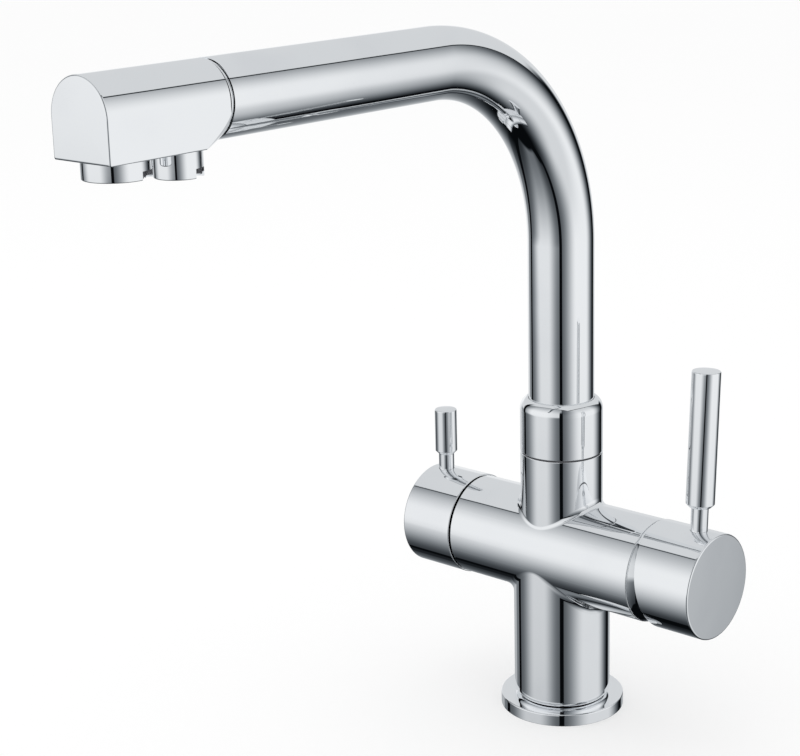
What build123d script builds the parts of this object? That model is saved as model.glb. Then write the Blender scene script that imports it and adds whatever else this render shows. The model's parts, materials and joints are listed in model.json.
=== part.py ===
from build123d import *
import math
import os

# A three-way kitchen tap. The right-hand lever mixes hot and cold water, the left-hand lever lets
# filtered drinking water through, and the spout carries the two apart to two outlets in its head.
# Millimetres, with +Z up. The spout points to -Y and the mixing lever stands on +X.
# The origin is the middle of the flange's underside, where the tap stands on the deck.

# Clearances shared by all the pieces
overrun = 1.0
running_gap = 0.05
fitting_gap = 0.1
lapped_gap = 0.05
passing_gap = 0.45

# Flange and its seal
flange_radius = 27.0
flange_thickness = 5.3
flange_edge_round = 0.6
seal_inner_radius = 20.5
seal_outer_radius = 25.0
seal_thickness = 2.2

# Cast body: a column, a barrel lying across it and a socket on top
column_radius = 21.0
column_foot_round = 3.0
barrel_wall = 2.8
barrel_height = 73.7
barrel_left_length = 45.4
barrel_right_length = 49.4
barrel_lip_bevel = 0.4
socket_radius = 17.7
socket_rise = 43.6
socket_lip_bevel = 0.3
under_barrel_fillet = 4.5
over_barrel_fillet = 2.8
inlet_block_radius = 18.0
inlet_block_recess = 1.2
inlet_block_height = 19.2

# Threaded holes in the inlet block: an M8 stud in the middle, and three M10 hose tails round it
stud_hole_radius = 4.0
stud_hole_depth = 16.0
hose_hole_radius = 5.0
hose_hole_depth = 12.0
hose_circle_radius = 11.5
hot_hose_angle = 60.0
cold_hose_angle = -60.0
filter_hose_angle = 180.0

# Water ways bored in the body
feed_radius = 2.3
feed_offset = 2.6
port_radius = 3.0
inlet_port_drop = 5.0
mixed_port_rise = 9.0
mixed_way_radius = 3.6
mixed_way_offset = 9.4
filtered_way_radius = 2.5
filtered_way_rise = 13.9

# Cartridge pocket in the right end of the barrel, and the cartridge in it
cartridge_radius = 17.5
cartridge_pocket_depth = 27.9
cartridge_shoulder_length = 23.0
cartridge_neck_radius = 12.5
cartridge_neck_length = 5.0
cartridge_base_thickness = 3.0
cartridge_wall = 2.5
port_seal_outer_radius = 4.2
port_seal_inner_radius = 3.1
port_seal_thickness = 1.0
fixed_disc_margin = 1.0
fixed_disc_thickness = 3.0
moving_disc_radius = 10.5
moving_disc_thickness = 2.8
mixing_recess_radius = 6.5
mixing_recess_depth = 1.4
carrier_radius = 11.4
carrier_thickness = 4.0
carrier_floor_thickness = 0.8
rotor_flange_margin = 0.4
rotor_flange_thickness = 2.0
rotor_lift = 0.5
rotor_neck_radius = 9.0
rotor_neck_inset = 1.9
rotor_shoulder_gap = 0.25
neck_flare_radius = 11.0
pivot_inset = 9.8
stem_pin_radius = 1.5
stem_pin_length = 16.0
stem_bar_side = 6.0
stem_side_gap = 0.25
stem_bar_inner_length = 3.2
stem_arm_radius = 1.8
stem_arm_length = 6.0
stem_ball_radius = 2.3
stem_ball_gap = 0.35
stem_head_side = 7.0
stem_head_start_length = 10.8
stem_length = 31.9
rotor_slot_drop = 7.4
rotor_slot_rise = 5.4

# Ring nut over the cartridge, and the domed trim ring on it
nut_thread_height = 1.7
nut_hub_radius = 17.0
nut_bore_radius = 13.2
nut_reach = 4.1
nut_notch_width = 4.0
nut_notch_depth = 1.6
dome_groove_width = 0.5
dome_groove_depth = 0.8
dome_reach = 8.8
dome_opening_radius = 14.4
dome_lip_thickness = 3.8

# Mixing knob and lever
mixer_lean = -3.0
mixer_knob_margin = 0.4
mixer_knob_length = 25.6
mixer_knob_reach = 4.7
mixer_knob_back_slope = 0.171
mixer_knob_front_thickness = 3.6
mixer_knob_wall = 3.0
knob_front_round = 0.8
knob_boss_radius = 8.0
knob_post_radius = 5.0
mixer_lever_inset = 10.1
mixer_neck_radius = 3.6
mixer_neck_top = 32.4
mixer_grip_radius = 6.0
mixer_grip_top = 89.7
grip_foot_bevel = 1.5
grip_top_bevel = 0.6
lever_tail_radius = 3.0
lever_tail_length = 9.0
lever_seat_depth = 0.35
grub_screw_radius = 2.5
grub_screw_length = 9.0
hex_socket_share = 0.5
hex_depth_share = 0.4

# Filter headwork in the left end of the barrel
filter_recess_radius = 15.0
filter_recess_depth = 9.4
filter_bore_depth = 26.4
headwork_thread_radius = 10.4
headwork_inner_radius = 8.8
headwork_hex_flats = 24.0
headwork_hex_thickness = 4.5
headwork_neck_radius = 8.4
headwork_neck_reach = 6.6
headwork_washer_thickness = 1.2
headwork_washer_radius = 13.2
headwork_window_width = 5.0
headwork_window_length = 4.0
outlet_groove_radius = 15.5
outlet_groove_far_depth = 11.5
outlet_groove_near_depth = 4.5
filter_seal_thickness = 2.0
filter_seal_bore_radius = 4.5
filter_fixed_disc_thickness = 3.0
filter_moving_disc_thickness = 2.8
filter_disc_radius = 8.5
filter_disc_port_radius = 2.4
filter_disc_port_offset = 4.4
spindle_plate_thickness = 2.6
spindle_radius = 5.0
spindle_ring_groove_depth = 1.3
spindle_ring_groove_width = 1.8
spindle_ring_inset = 3.9
spindle_ring_spacing = 4.0
spindle_spline_radius = 4.0
spindle_reach = 20.6
clip_radius = 6.6
clip_thickness = 1.0
clip_groove_depth = 0.8
clip_mouth_width = 6.0

# Filter knob and lever
filter_knob_margin = 0.5
filter_knob_gap = 0.8
filter_knob_reach = 27.2
filter_knob_front_thickness = 3.4
filter_knob_wall = 3.0
filter_boss_gap = 0.2
filter_lever_inset = 7.3
filter_neck_radius = 3.5
filter_neck_top = 29.5
filter_grip_radius = 5.0
filter_grip_top = 50.35
filter_grub_inset = 12.1

# Spout foot: socket bore, slip bush, spigot, rings and collar
socket_bore_radius = 13.7
socket_bore_depth = 21.8
bush_outer_radius = 15.2
bush_depth = 5.0
bush_flange_radius = 16.9
bush_flange_thickness = 0.5
spigot_radius = 13.3
spigot_bore_radius = 9.5
spigot_lift = 2.0
spigot_ring_rise = 5.5
spigot_ring_spacing = 3.8
spigot_ring_count = 2
spigot_ring_thickness = 2.2
spigot_ring_groove_width = 2.6
spigot_flange_radius = 15.0
spigot_flange_thickness = 3.0
spigot_top_drop = 5.5
retaining_drop = 8.0
retaining_groove_width = 4.6
retaining_groove_depth = 2.0
retaining_screw_radius = 2.5
retaining_point_radius = 1.6
retaining_point_length = 2.3
retaining_point_gap = 0.4
collar_rise = 24.2
collar_shoulder_radius = 5.5
collar_shoulder_drop = 4.9
collar_rim_width = 0.8
collar_mouth_bevel = 0.5

# Spout tube: a riser, one bend and a level arm
tube_radius = 14.0
tube_wall = 1.3
bend_radius = 82.0
arm_height = 291.0
tube_end_reach = 195.4

# Filtered-water tube inside the spout, with its nipple
filter_tube_radius = 4.0
filter_tube_wall = 1.2
nipple_radius = 4.5
nipple_drop = 5.9
nipple_shoulder_rise = 3.5
nipple_barb_length = 9.0
nipple_bore_radius = 1.8
nipple_ring_thickness = 1.5
nipple_ring_drop = 2.9
nipple_ring_groove_width = 1.8

# Joint between tube and head
joint_ring_width = 2.0
joint_ring_step = 0.4
joint_tail_length = 8.0
joint_nose_radius = 11.5
joint_nose_length = 4.4
joint_nose_end_gap = 0.4
joint_bore_radius = 9.5
joint_seal_thickness = 1.5
joint_seal_inset = 1.8
joint_seal_groove_width = 1.8

# Head: round on top and square below, with its back corners turned down to a cone
head_drop = 14.1
head_length = 52.6
head_edge_round = 0.8
head_cone_margin = 0.45
head_cone_angle = 24.4
head_chamber_radius = 11.0
head_front_thickness = 5.0
tube_boss_radius = 6.3
tube_boss_inset = 1.6
tube_boss_length = 17.0
tube_stop_inset = 9.6
head_way_radius = 2.6
nozzle_boss_wall = 1.6

# Main outlet and filter outlet, each a housing, an insert and a gasket
main_outlet_inset = 14.1
main_outlet_radius = 11.7
main_outlet_length = 6.5
main_thread_radius = 10.5
main_thread_length = 7.0
main_bore_radius = 9.4
main_socket_depth = 9.0
main_notch_width = 7.0
main_notch_height = 2.9
filter_outlet_inset = 12.1
filter_outlet_radius = 8.5
filter_outlet_length = 10.0
filter_thread_radius = 6.2
filter_thread_length = 4.8
filter_bore_radius = 5.3
filter_socket_depth = 6.6
filter_notch_width = 6.0
filter_notch_height = 3.3
outlet_notch_angle = 22.0
outlet_edge_round = 0.4
outlet_hole_radius = 0.9
outlet_hole_pitch = 2.6
insert_face_thickness = 1.6
insert_wall = 1.2
insert_core_thickness = 2.0
insert_lip_thickness = 1.0

# Radii worked out from the sizes above
nut_thread_radius = cartridge_radius + nut_thread_height
barrel_radius = nut_thread_radius + barrel_wall
cartridge_cavity_radius = cartridge_radius - cartridge_wall
fixed_disc_radius = cartridge_cavity_radius - fixed_disc_margin
rotor_flange_radius = cartridge_cavity_radius - rotor_flange_margin
dome_groove_radius = barrel_radius - dome_groove_depth
mixer_knob_radius = barrel_radius + mixer_knob_margin
filter_knob_radius = barrel_radius + filter_knob_margin
tube_inner_radius = tube_radius - tube_wall
collar_top_radius = tube_radius + collar_rim_width
joint_ring_radius = tube_radius - joint_ring_step
head_radius = tube_radius
head_cone_back_radius = head_radius + head_cone_margin

# Stations of the mixing side, from the right end of the barrel
cartridge_seat_station = barrel_right_length - cartridge_pocket_depth
rotor_neck_end_station = barrel_right_length - rotor_neck_inset
pivot_station = barrel_right_length - pivot_inset
stem_head_start_station = pivot_station + stem_head_start_length
stem_end_station = pivot_station + stem_length
nut_end_station = barrel_right_length + nut_reach
dome_end_station = barrel_right_length + dome_reach
mixer_knob_back_station = barrel_right_length + mixer_knob_reach
mixer_knob_front_station = mixer_knob_back_station + mixer_knob_length
mixer_lever_station = mixer_knob_front_station - mixer_lever_inset
cartridge_shoulder_station = cartridge_seat_station + cartridge_shoulder_length
cartridge_neck_end_station = cartridge_shoulder_station + cartridge_neck_length
fixed_disc_station = cartridge_seat_station + cartridge_base_thickness
moving_disc_station = fixed_disc_station + fixed_disc_thickness + lapped_gap
carrier_station = moving_disc_station + moving_disc_thickness
rotor_station = carrier_station + carrier_thickness + rotor_lift
rotor_neck_station = rotor_station + rotor_flange_thickness
ball_station = pivot_station - stem_arm_length
dome_radius = math.hypot(barrel_right_length - pivot_station, barrel_radius)
knob_cavity_radius = dome_radius + passing_gap

# Stations of the filter side, from the left end of the barrel
filter_floor_station = -barrel_left_length + filter_bore_depth
outlet_groove_start_station = filter_floor_station - outlet_groove_far_depth
outlet_groove_end_station = filter_floor_station - outlet_groove_near_depth
headwork_neck_end_station = -barrel_left_length - headwork_neck_reach
spindle_ring_first_station = -barrel_left_length + spindle_ring_inset
spindle_end_station = -barrel_left_length - spindle_reach
filter_knob_front_station = -barrel_left_length - filter_knob_reach
filter_lever_station = filter_knob_front_station + filter_lever_inset
filter_grub_station = filter_knob_front_station + filter_grub_inset
filter_recess_station = -barrel_left_length + filter_recess_depth
filter_knob_back_station = -barrel_left_length - filter_knob_gap
filter_fixed_disc_station = filter_floor_station - filter_seal_thickness
filter_moving_disc_station = filter_fixed_disc_station - filter_fixed_disc_thickness - lapped_gap
spindle_plate_station = filter_moving_disc_station - filter_moving_disc_thickness
spindle_shoulder_station = spindle_plate_station - spindle_plate_thickness
headwork_hex_station = filter_recess_station - headwork_washer_thickness
headwork_neck_station = headwork_hex_station - headwork_hex_thickness
clip_station = headwork_neck_end_station - fitting_gap
clip_end_station = clip_station - clip_thickness
spline_station = clip_end_station - clip_thickness
filter_boss_station = spline_station - filter_boss_gap

# Heights of the spout's foot, from the top of the socket
socket_top_height = barrel_height + socket_rise
socket_floor_height = socket_top_height - socket_bore_depth
retaining_height = socket_top_height - retaining_drop
collar_top_height = socket_top_height + collar_rise
spigot_ring_height = socket_floor_height + spigot_ring_rise
spigot_top_height = collar_top_height - spigot_top_drop
nipple_bottom_height = socket_floor_height - nipple_drop
nipple_shoulder_height = socket_floor_height + nipple_shoulder_rise
nipple_ring_height = socket_floor_height - nipple_ring_drop
bush_flange_height = socket_top_height + bush_flange_thickness
collar_bottom_height = bush_flange_height + fitting_gap
tube_foot_height = collar_bottom_height + spigot_flange_thickness

# Reaches of the head, from the end of the tube
head_back_reach = tube_end_reach + joint_ring_width
head_front_reach = head_back_reach + head_length
head_chamber_front_reach = head_front_reach - head_front_thickness
head_underside_height = arm_height - head_drop
tube_boss_back_reach = head_back_reach + tube_boss_inset
tube_boss_front_reach = tube_boss_back_reach + tube_boss_length
tube_stop_reach = head_back_reach + tube_stop_inset
main_outlet_reach = head_front_reach - main_outlet_inset
filter_outlet_reach = head_back_reach + filter_outlet_inset
joint_seal_reach = head_back_reach + joint_seal_inset
head_pocket_reach = head_back_reach + joint_nose_length + joint_nose_end_gap

# Frames of the barrel and of the leaning handle
barrel_frame = Pos(0, 0, barrel_height)
lean_frame = Pos(0, 0, barrel_height) * Rot(mixer_lean, 0, 0)


def rod_x(radius, start, end, y=0, z=0):
    """A round bar along X between two stations."""
    return Pos((start + end) / 2, y, z) * Rot(0, 90, 0) * Cylinder(radius, abs(end - start))


def rod_y(radius, start, end, x=0, z=0):
    """A round bar along Y between two places."""
    return Pos(x, (start + end) / 2, z) * Rot(90, 0, 0) * Cylinder(radius, abs(end - start))


def rod_z(radius, bottom, top, x=0, y=0):
    """An upright round bar between two heights."""
    return Pos(x, y, (bottom + top) / 2) * Cylinder(radius, top - bottom)


def block(low, high):
    """A box from its lowest corner to its highest."""
    middle = [(a + b) / 2 for a, b in zip(low, high)]
    sides = [b - a for a, b in zip(low, high)]
    return Pos(*middle) * Box(*sides)


def ring_groove_x(radius, depth, station, width):
    """The ring of metal that a groove takes from a bar along X."""
    outer = rod_x(radius + overrun, station - width / 2, station + width / 2)
    inner = rod_x(radius - depth, station - width, station + width)
    return outer - inner


def ring_groove_y(radius, depth, place, width, z):
    """The ring of metal that a groove takes from a bar along Y."""
    outer = rod_y(radius + overrun, place - width / 2, place + width / 2, z=z)
    inner = rod_y(radius - depth, place - width, place + width, z=z)
    return outer - inner


def ring_groove_z(radius, depth, height, width):
    """The ring of metal that a groove takes from an upright bar."""
    outer = rod_z(radius + overrun, height - width / 2, height + width / 2)
    inner = rod_z(radius - depth, height - width, height + width)
    return outer - inner


def on_circle(radius, angle):
    """A point of a circle round the column's axis, as x and y."""
    return radius * math.cos(math.radians(angle)), radius * math.sin(math.radians(angle))


# Flange and seal


def base_flange():
    ring = rod_z(flange_radius, 0, flange_thickness)
    ring = fillet(ring.edges().group_by(Axis.Z)[-1], flange_edge_round)
    bore = rod_z(inlet_block_radius + fitting_gap, -overrun, flange_thickness + overrun)
    groove = rod_z(seal_outer_radius, -overrun, seal_thickness)
    groove -= rod_z(seal_inner_radius, -overrun, seal_thickness + overrun)
    return ring - bore - groove


def base_seal():
    ring = rod_z(seal_outer_radius - fitting_gap, 0, seal_thickness)
    return ring - rod_z(seal_inner_radius + fitting_gap, -overrun, seal_thickness + overrun)


# Cast body


def outer_body():
    column = rod_z(column_radius, flange_thickness, barrel_height)
    column = fillet(column.edges().group_by(Axis.Z)[0], column_foot_round)
    barrel = barrel_frame * rod_x(barrel_radius, -barrel_left_length, barrel_right_length)
    barrel = chamfer(barrel.edges().filter_by(GeomType.CIRCLE), barrel_lip_bevel)
    socket = rod_z(socket_radius, barrel_height, socket_top_height)
    socket = chamfer(socket.edges().group_by(Axis.Z)[-1], socket_lip_bevel)
    cross = column + barrel + socket
    joints = cross.edges().filter_by(lambda e: e.geom_type not in (GeomType.CIRCLE, GeomType.LINE))
    under = joints.filter_by(lambda e: e.center().Z < barrel_height)
    cross = fillet(under, under_barrel_fillet)
    joints = cross.edges().filter_by(lambda e: e.geom_type not in (GeomType.CIRCLE, GeomType.LINE))
    over = joints.filter_by(lambda e: e.center().Z > barrel_height)
    return fillet(over, over_barrel_fillet)


def feeds(bottom):
    """The three water ways that rise from the hose holes to the barrel."""
    cuts = []
    for angle in (hot_hose_angle, cold_hose_angle, filter_hose_angle):
        x, y = on_circle(hose_circle_radius - feed_offset, angle)
        drop = 0 if angle == filter_hose_angle else inlet_port_drop
        cuts.append(rod_z(feed_radius, bottom, barrel_height - drop, x, y))
    return cuts


def inlet_block():
    """The block screwed into the foot, with the stud hole and the three hose holes open below."""
    bottom = inlet_block_recess - overrun
    solid = rod_z(inlet_block_radius, inlet_block_recess, inlet_block_height)
    solid -= rod_z(stud_hole_radius, bottom, inlet_block_recess + stud_hole_depth)
    hose_top = inlet_block_recess + hose_hole_depth
    for angle in (hot_hose_angle, cold_hose_angle, filter_hose_angle):
        x, y = on_circle(hose_circle_radius, angle)
        solid -= rod_z(hose_hole_radius, bottom, hose_top, x, y)
    for cut in feeds(hose_top - overrun):
        solid -= cut
    return solid


def cartridge_pocket():
    pocket = rod_x(cartridge_radius + fitting_gap, cartridge_seat_station, barrel_right_length + overrun)
    thread = rod_x(nut_thread_radius + fitting_gap, cartridge_shoulder_station, barrel_right_length + overrun)
    cuts = [pocket, thread]
    for y, z, inner in port_places():
        cuts.append(rod_x(port_radius, inner, cartridge_seat_station + overrun, y, z))
    return [barrel_frame * cut for cut in cuts]


def port_places():
    """Each cartridge port as y and z from the barrel's axis, and the station that its bore reaches."""
    hot_x, hot_y = on_circle(hose_circle_radius - feed_offset, hot_hose_angle)
    cold_x, cold_y = on_circle(hose_circle_radius - feed_offset, cold_hose_angle)
    return [
        (hot_y, -inlet_port_drop, hot_x),
        (cold_y, -inlet_port_drop, cold_x),
        (0, mixed_port_rise, mixed_way_offset),
    ]


def headwork_cavity():
    recess = rod_x(filter_recess_radius, -barrel_left_length - overrun, filter_recess_station)
    thread = rod_x(headwork_thread_radius + fitting_gap, filter_recess_station - overrun, filter_floor_station)
    groove = rod_x(outlet_groove_radius, outlet_groove_start_station, outlet_groove_end_station)
    inlet_x, inlet_y = on_circle(hose_circle_radius - feed_offset, filter_hose_angle)
    inlet = rod_x(feed_radius, filter_floor_station - overrun, inlet_x)
    outlet = rod_x(filtered_way_radius, outlet_groove_end_station - overrun, 0, z=filtered_way_rise)
    return [barrel_frame * cut for cut in (recess, thread, groove, inlet, outlet)]


def socket_bores():
    mouth = socket_top_height + overrun
    main = rod_z(socket_bore_radius, socket_floor_height, mouth)
    bush_seat = rod_z(bush_outer_radius, socket_top_height - bush_depth, mouth)
    middle = rod_z(nipple_radius + running_gap, barrel_height + filtered_way_rise, socket_floor_height + overrun)
    mixed = rod_z(
        mixed_way_radius, barrel_height + mixed_port_rise, socket_floor_height + overrun, x=mixed_way_offset
    )
    screw = rod_y(retaining_screw_radius, spigot_radius, socket_radius + overrun, z=retaining_height)
    return [main, bush_seat, middle, mixed, screw]


def body():
    solid = outer_body() - rod_z(inlet_block_radius, 0, inlet_block_height)
    for cut in feeds(inlet_block_height - overrun) + cartridge_pocket() + headwork_cavity() + socket_bores():
        solid -= cut
    return solid


# Mixing cartridge


def cartridge_housing():
    base = rod_x(cartridge_radius, cartridge_seat_station, cartridge_shoulder_station)
    neck = rod_x(cartridge_neck_radius, cartridge_shoulder_station - overrun, cartridge_neck_end_station)
    cavity_end = rotor_neck_station + rotor_shoulder_gap
    cavity = rod_x(cartridge_cavity_radius, fixed_disc_station, cavity_end)
    bore = rod_x(rotor_neck_radius + running_gap, cavity_end - overrun, cartridge_neck_end_station)
    flare = rod_x(neck_flare_radius, rotor_neck_end_station, cartridge_neck_end_station + overrun)
    solid = base + neck - cavity - bore - flare
    for y, z, inner in port_places():
        solid -= rod_x(port_radius, cartridge_seat_station - overrun, fixed_disc_station + overrun, y, z)
        seat = rod_x(
            port_seal_outer_radius + fitting_gap,
            cartridge_seat_station - overrun,
            cartridge_seat_station + port_seal_thickness,
            y,
            z,
        )
        solid -= seat
    return barrel_frame * solid


def cartridge_port_seals():
    seals = []
    for y, z, inner in port_places():
        start = cartridge_seat_station
        end = cartridge_seat_station + port_seal_thickness
        ring = rod_x(port_seal_outer_radius, start, end, y, z)
        ring -= rod_x(port_seal_inner_radius, start - overrun, end + overrun, y, z)
        seals.append(barrel_frame * ring)
    return Compound(children=seals)


def mixer_fixed_disc():
    disc = rod_x(fixed_disc_radius, fixed_disc_station, fixed_disc_station + fixed_disc_thickness)
    for y, z, inner in port_places():
        disc -= rod_x(port_radius, fixed_disc_station - overrun, moving_disc_station + overrun, y, z)
    return barrel_frame * disc


def mixer_moving_disc():
    disc = rod_x(moving_disc_radius, moving_disc_station, carrier_station)
    recess_end = moving_disc_station + mixing_recess_depth
    return lean_frame * (disc - rod_x(mixing_recess_radius, moving_disc_station - overrun, recess_end))


def mixer_disc_carrier():
    top = carrier_station + carrier_thickness
    disc = rod_x(carrier_radius, carrier_station, top)
    half = stem_ball_radius + stem_ball_gap
    slot = block((carrier_station + carrier_floor_thickness, -half, -half), (top + overrun, half, half))
    return lean_frame * (disc - slot)


def mixer_rotor():
    flange = rod_x(rotor_flange_radius, rotor_station, rotor_neck_station)
    neck = rod_x(rotor_neck_radius, rotor_neck_station - overrun, rotor_neck_end_station)
    half = stem_bar_side / 2 + stem_side_gap
    outer_slot = block(
        (pivot_station - overrun, -half, -rotor_slot_drop), (rotor_neck_end_station + overrun, half, half)
    )
    inner_slot = block((rotor_station - overrun, -half, -half), (pivot_station + overrun, half, rotor_slot_rise))
    pin_hole = rod_y(stem_pin_radius + fitting_gap, -rotor_neck_radius, rotor_neck_radius, x=pivot_station)
    return lean_frame * (flange + neck - outer_slot - inner_slot - pin_hole)


def mixer_stem_pin():
    return lean_frame * rod_y(stem_pin_radius, -stem_pin_length / 2, stem_pin_length / 2, x=pivot_station)


def mixer_stem():
    half = stem_bar_side / 2
    bar = block(
        (pivot_station - stem_bar_inner_length, -half, -half), (stem_head_start_station + overrun, half, half)
    )
    half = stem_head_side / 2
    head = block((stem_head_start_station, -half, -half), (stem_end_station, half, half))
    arm = rod_x(stem_arm_radius, ball_station, pivot_station)
    ball = Pos(ball_station, 0, 0) * Sphere(stem_ball_radius)
    hole = rod_y(stem_pin_radius + running_gap, -stem_head_side, stem_head_side, x=pivot_station)
    return lean_frame * (bar + head + arm + ball - hole)


def mixer_retaining_nut():
    thread = rod_x(nut_thread_radius, cartridge_shoulder_station, barrel_right_length)
    hub = rod_x(nut_hub_radius, barrel_right_length - overrun, nut_end_station)
    bore = rod_x(nut_bore_radius, cartridge_shoulder_station - overrun, nut_end_station + overrun)
    nut = thread + hub - bore
    half = nut_notch_width / 2
    notch = block(
        (nut_end_station - nut_notch_depth, -flange_radius, -half),
        (nut_end_station + overrun, flange_radius, half),
    )
    for turn in (0, 90):
        nut -= Rot(turn, 0, 0) * notch
    return barrel_frame * nut


def dome_edge(station):
    """The dome's radius about the barrel's axis, on a ball round the point that the lever tips about."""
    return math.sqrt(dome_radius**2 - (station - pivot_station) ** 2)


def mixer_dome_ring():
    base_station = barrel_right_length + dome_groove_width
    thread_end = dome_end_station - dome_lip_thickness
    thread_radius = nut_hub_radius + fitting_gap
    middle = (base_station + dome_end_station) / 2
    walls = Polyline(
        (base_station, dome_edge(base_station)),
        (base_station, dome_groove_radius),
        (barrel_right_length, dome_groove_radius),
        (barrel_right_length, thread_radius),
        (thread_end, thread_radius),
        (thread_end, dome_opening_radius),
        (dome_end_station, dome_opening_radius),
        (dome_end_station, dome_edge(dome_end_station)),
    )
    dome = ThreePointArc(
        (dome_end_station, dome_edge(dome_end_station)),
        (middle, dome_edge(middle)),
        (base_station, dome_edge(base_station)),
    )
    return barrel_frame * revolve(Plane.XZ * make_face([walls, dome]), Axis.X)


# Mixing handle


def hex_key_socket(bar_radius, bar_length):
    """The six-sided hole in the end of a grub screw, standing on Z, from its mouth at zero downwards."""
    depth = bar_length * hex_depth_share
    hexagon = RegularPolygon(bar_radius * hex_socket_share, side_count=6)
    return Pos(0, 0, -depth) * extrude(hexagon, amount=depth + overrun)


def mixer_knob_back_cut():
    """A block whose face is the knob's sloping back, so that the handle can tip outwards."""
    slope = math.degrees(math.atan(mixer_knob_back_slope))
    reach = mixer_knob_front_station
    shape = block((-reach, -reach, -reach), (0, reach, reach))
    return Pos(mixer_knob_back_station, 0, 0) * Rot(0, -slope, 0) * shape


def knob_seat_height(knob_radius, neck_radius):
    """How far from the axis the lever's flat seat lies: just under the knob's round top."""
    return math.sqrt(knob_radius**2 - neck_radius**2) - lever_seat_depth


def lever_seat_cuts(knob_radius, neck_radius, station):
    seat = knob_seat_height(knob_radius, neck_radius)
    spot = rod_z(neck_radius + fitting_gap, seat, knob_radius + overrun, x=station)
    hole = rod_z(lever_tail_radius + running_gap, seat - lever_tail_length - overrun, knob_radius, x=station)
    return spot + hole


def mixer_knob():
    drum = rod_x(mixer_knob_radius, pivot_station, mixer_knob_front_station)
    drum = fillet(drum.edges().group_by(Axis.X)[-1], knob_front_round)
    drum -= mixer_knob_back_cut()
    inside_radius = mixer_knob_radius - mixer_knob_wall
    inside_start = pivot_station + math.sqrt(knob_cavity_radius**2 - inside_radius**2) - overrun
    inside_end = mixer_knob_front_station - mixer_knob_front_thickness
    inside = rod_x(inside_radius, inside_start, inside_end)
    boss = rod_x(knob_boss_radius, pivot_station, inside_end + overrun)
    post = rod_z(knob_post_radius, -inside_radius - overrun, inside_radius + overrun, x=mixer_lever_station)
    shell = drum - inside + boss + post
    shell -= Pos(pivot_station, 0, 0) * Sphere(knob_cavity_radius)
    half = stem_head_side / 2 + fitting_gap
    shell -= block((pivot_station, -half, -half), (stem_end_station + fitting_gap, half, half))
    shell -= lever_seat_cuts(mixer_knob_radius, mixer_neck_radius, mixer_lever_station)
    screw_hole_bottom = -mixer_knob_radius - overrun
    shell -= rod_z(grub_screw_radius + running_gap, screw_hole_bottom, 0, x=mixer_lever_station)
    return lean_frame * shell


def grub_screw(stem_half_thickness):
    """A headless screw under the knob that clamps the shaft in the boss, standing on the shaft's flat."""
    top = -stem_half_thickness
    screw = rod_z(grub_screw_radius, top - grub_screw_length, top)
    key = Rot(180, 0, 0) * hex_key_socket(grub_screw_radius, grub_screw_length)
    return screw - Pos(0, 0, top - grub_screw_length) * key


def mixer_grub_screw():
    return lean_frame * Pos(mixer_lever_station, 0, 0) * grub_screw(stem_head_side / 2)


def lever(knob_radius, neck_radius, neck_top, grip_radius, grip_top):
    """A turned lever: a threaded tail, a thin neck and a thicker grip, standing on Z."""
    seat = knob_seat_height(knob_radius, neck_radius)
    tail = rod_z(lever_tail_radius, seat - lever_tail_length, seat + overrun)
    neck = rod_z(neck_radius, seat, neck_top + overrun)
    grip = rod_z(grip_radius, neck_top, grip_top)
    grip = chamfer(grip.edges().group_by(Axis.Z)[0], grip_foot_bevel)
    grip = chamfer(grip.edges().group_by(Axis.Z)[-1], grip_top_bevel)
    return tail + neck + grip


def mixer_lever():
    shape = lever(mixer_knob_radius, mixer_neck_radius, mixer_neck_top, mixer_grip_radius, mixer_grip_top)
    return lean_frame * Pos(mixer_lever_station, 0, 0) * shape


# Filter headwork


def filter_headwork_body():
    thread = rod_x(headwork_thread_radius, headwork_hex_station, filter_floor_station)
    hexagon = RegularPolygon(headwork_hex_flats / 2, side_count=6, major_radius=False)
    nut = Pos(headwork_neck_station, 0, 0) * Rot(0, 90, 0) * extrude(hexagon, headwork_hex_thickness)
    neck = rod_x(headwork_neck_radius, headwork_neck_end_station, headwork_neck_station + overrun)
    cavity = rod_x(headwork_inner_radius, spindle_shoulder_station - fitting_gap, filter_floor_station + overrun)
    bore = rod_x(spindle_radius + running_gap, headwork_neck_end_station - overrun, filter_floor_station)
    solid = thread + nut + neck - cavity - bore
    start = (outlet_groove_start_station + outlet_groove_end_station - headwork_window_length) / 2
    half = headwork_window_width / 2
    window = block(
        (start, -outlet_groove_radius, -half), (start + headwork_window_length, outlet_groove_radius, half)
    )
    for turn in (0, 90):
        solid -= Rot(turn, 0, 0) * window
    return barrel_frame * solid


def filter_headwork_washer():
    ring = rod_x(headwork_washer_radius, headwork_hex_station, filter_recess_station)
    bore = rod_x(
        headwork_thread_radius + fitting_gap, headwork_hex_station - overrun, filter_recess_station + overrun
    )
    return barrel_frame * (ring - bore)


def filter_seat_seal():
    ring = rod_x(filter_disc_radius, filter_fixed_disc_station, filter_floor_station)
    bore = rod_x(filter_seal_bore_radius, filter_fixed_disc_station - overrun, filter_floor_station + overrun)
    return barrel_frame * (ring - bore)


def half_port(start, end):
    """The off-centre port of a ceramic disc."""
    return rod_x(filter_disc_port_radius, start, end, z=filter_disc_port_offset)


def filter_fixed_disc():
    end = filter_fixed_disc_station - filter_fixed_disc_thickness
    disc = rod_x(filter_disc_radius, end, filter_fixed_disc_station)
    port = half_port(end - overrun, filter_fixed_disc_station + overrun)
    return barrel_frame * (disc - port - Rot(180, 0, 0) * port)


def filter_moving_disc():
    disc = rod_x(filter_disc_radius - running_gap, spindle_plate_station, filter_moving_disc_station)
    port = Rot(90, 0, 0) * half_port(spindle_plate_station - overrun, filter_moving_disc_station + overrun)
    return barrel_frame * (disc - port - Rot(180, 0, 0) * port)


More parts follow.
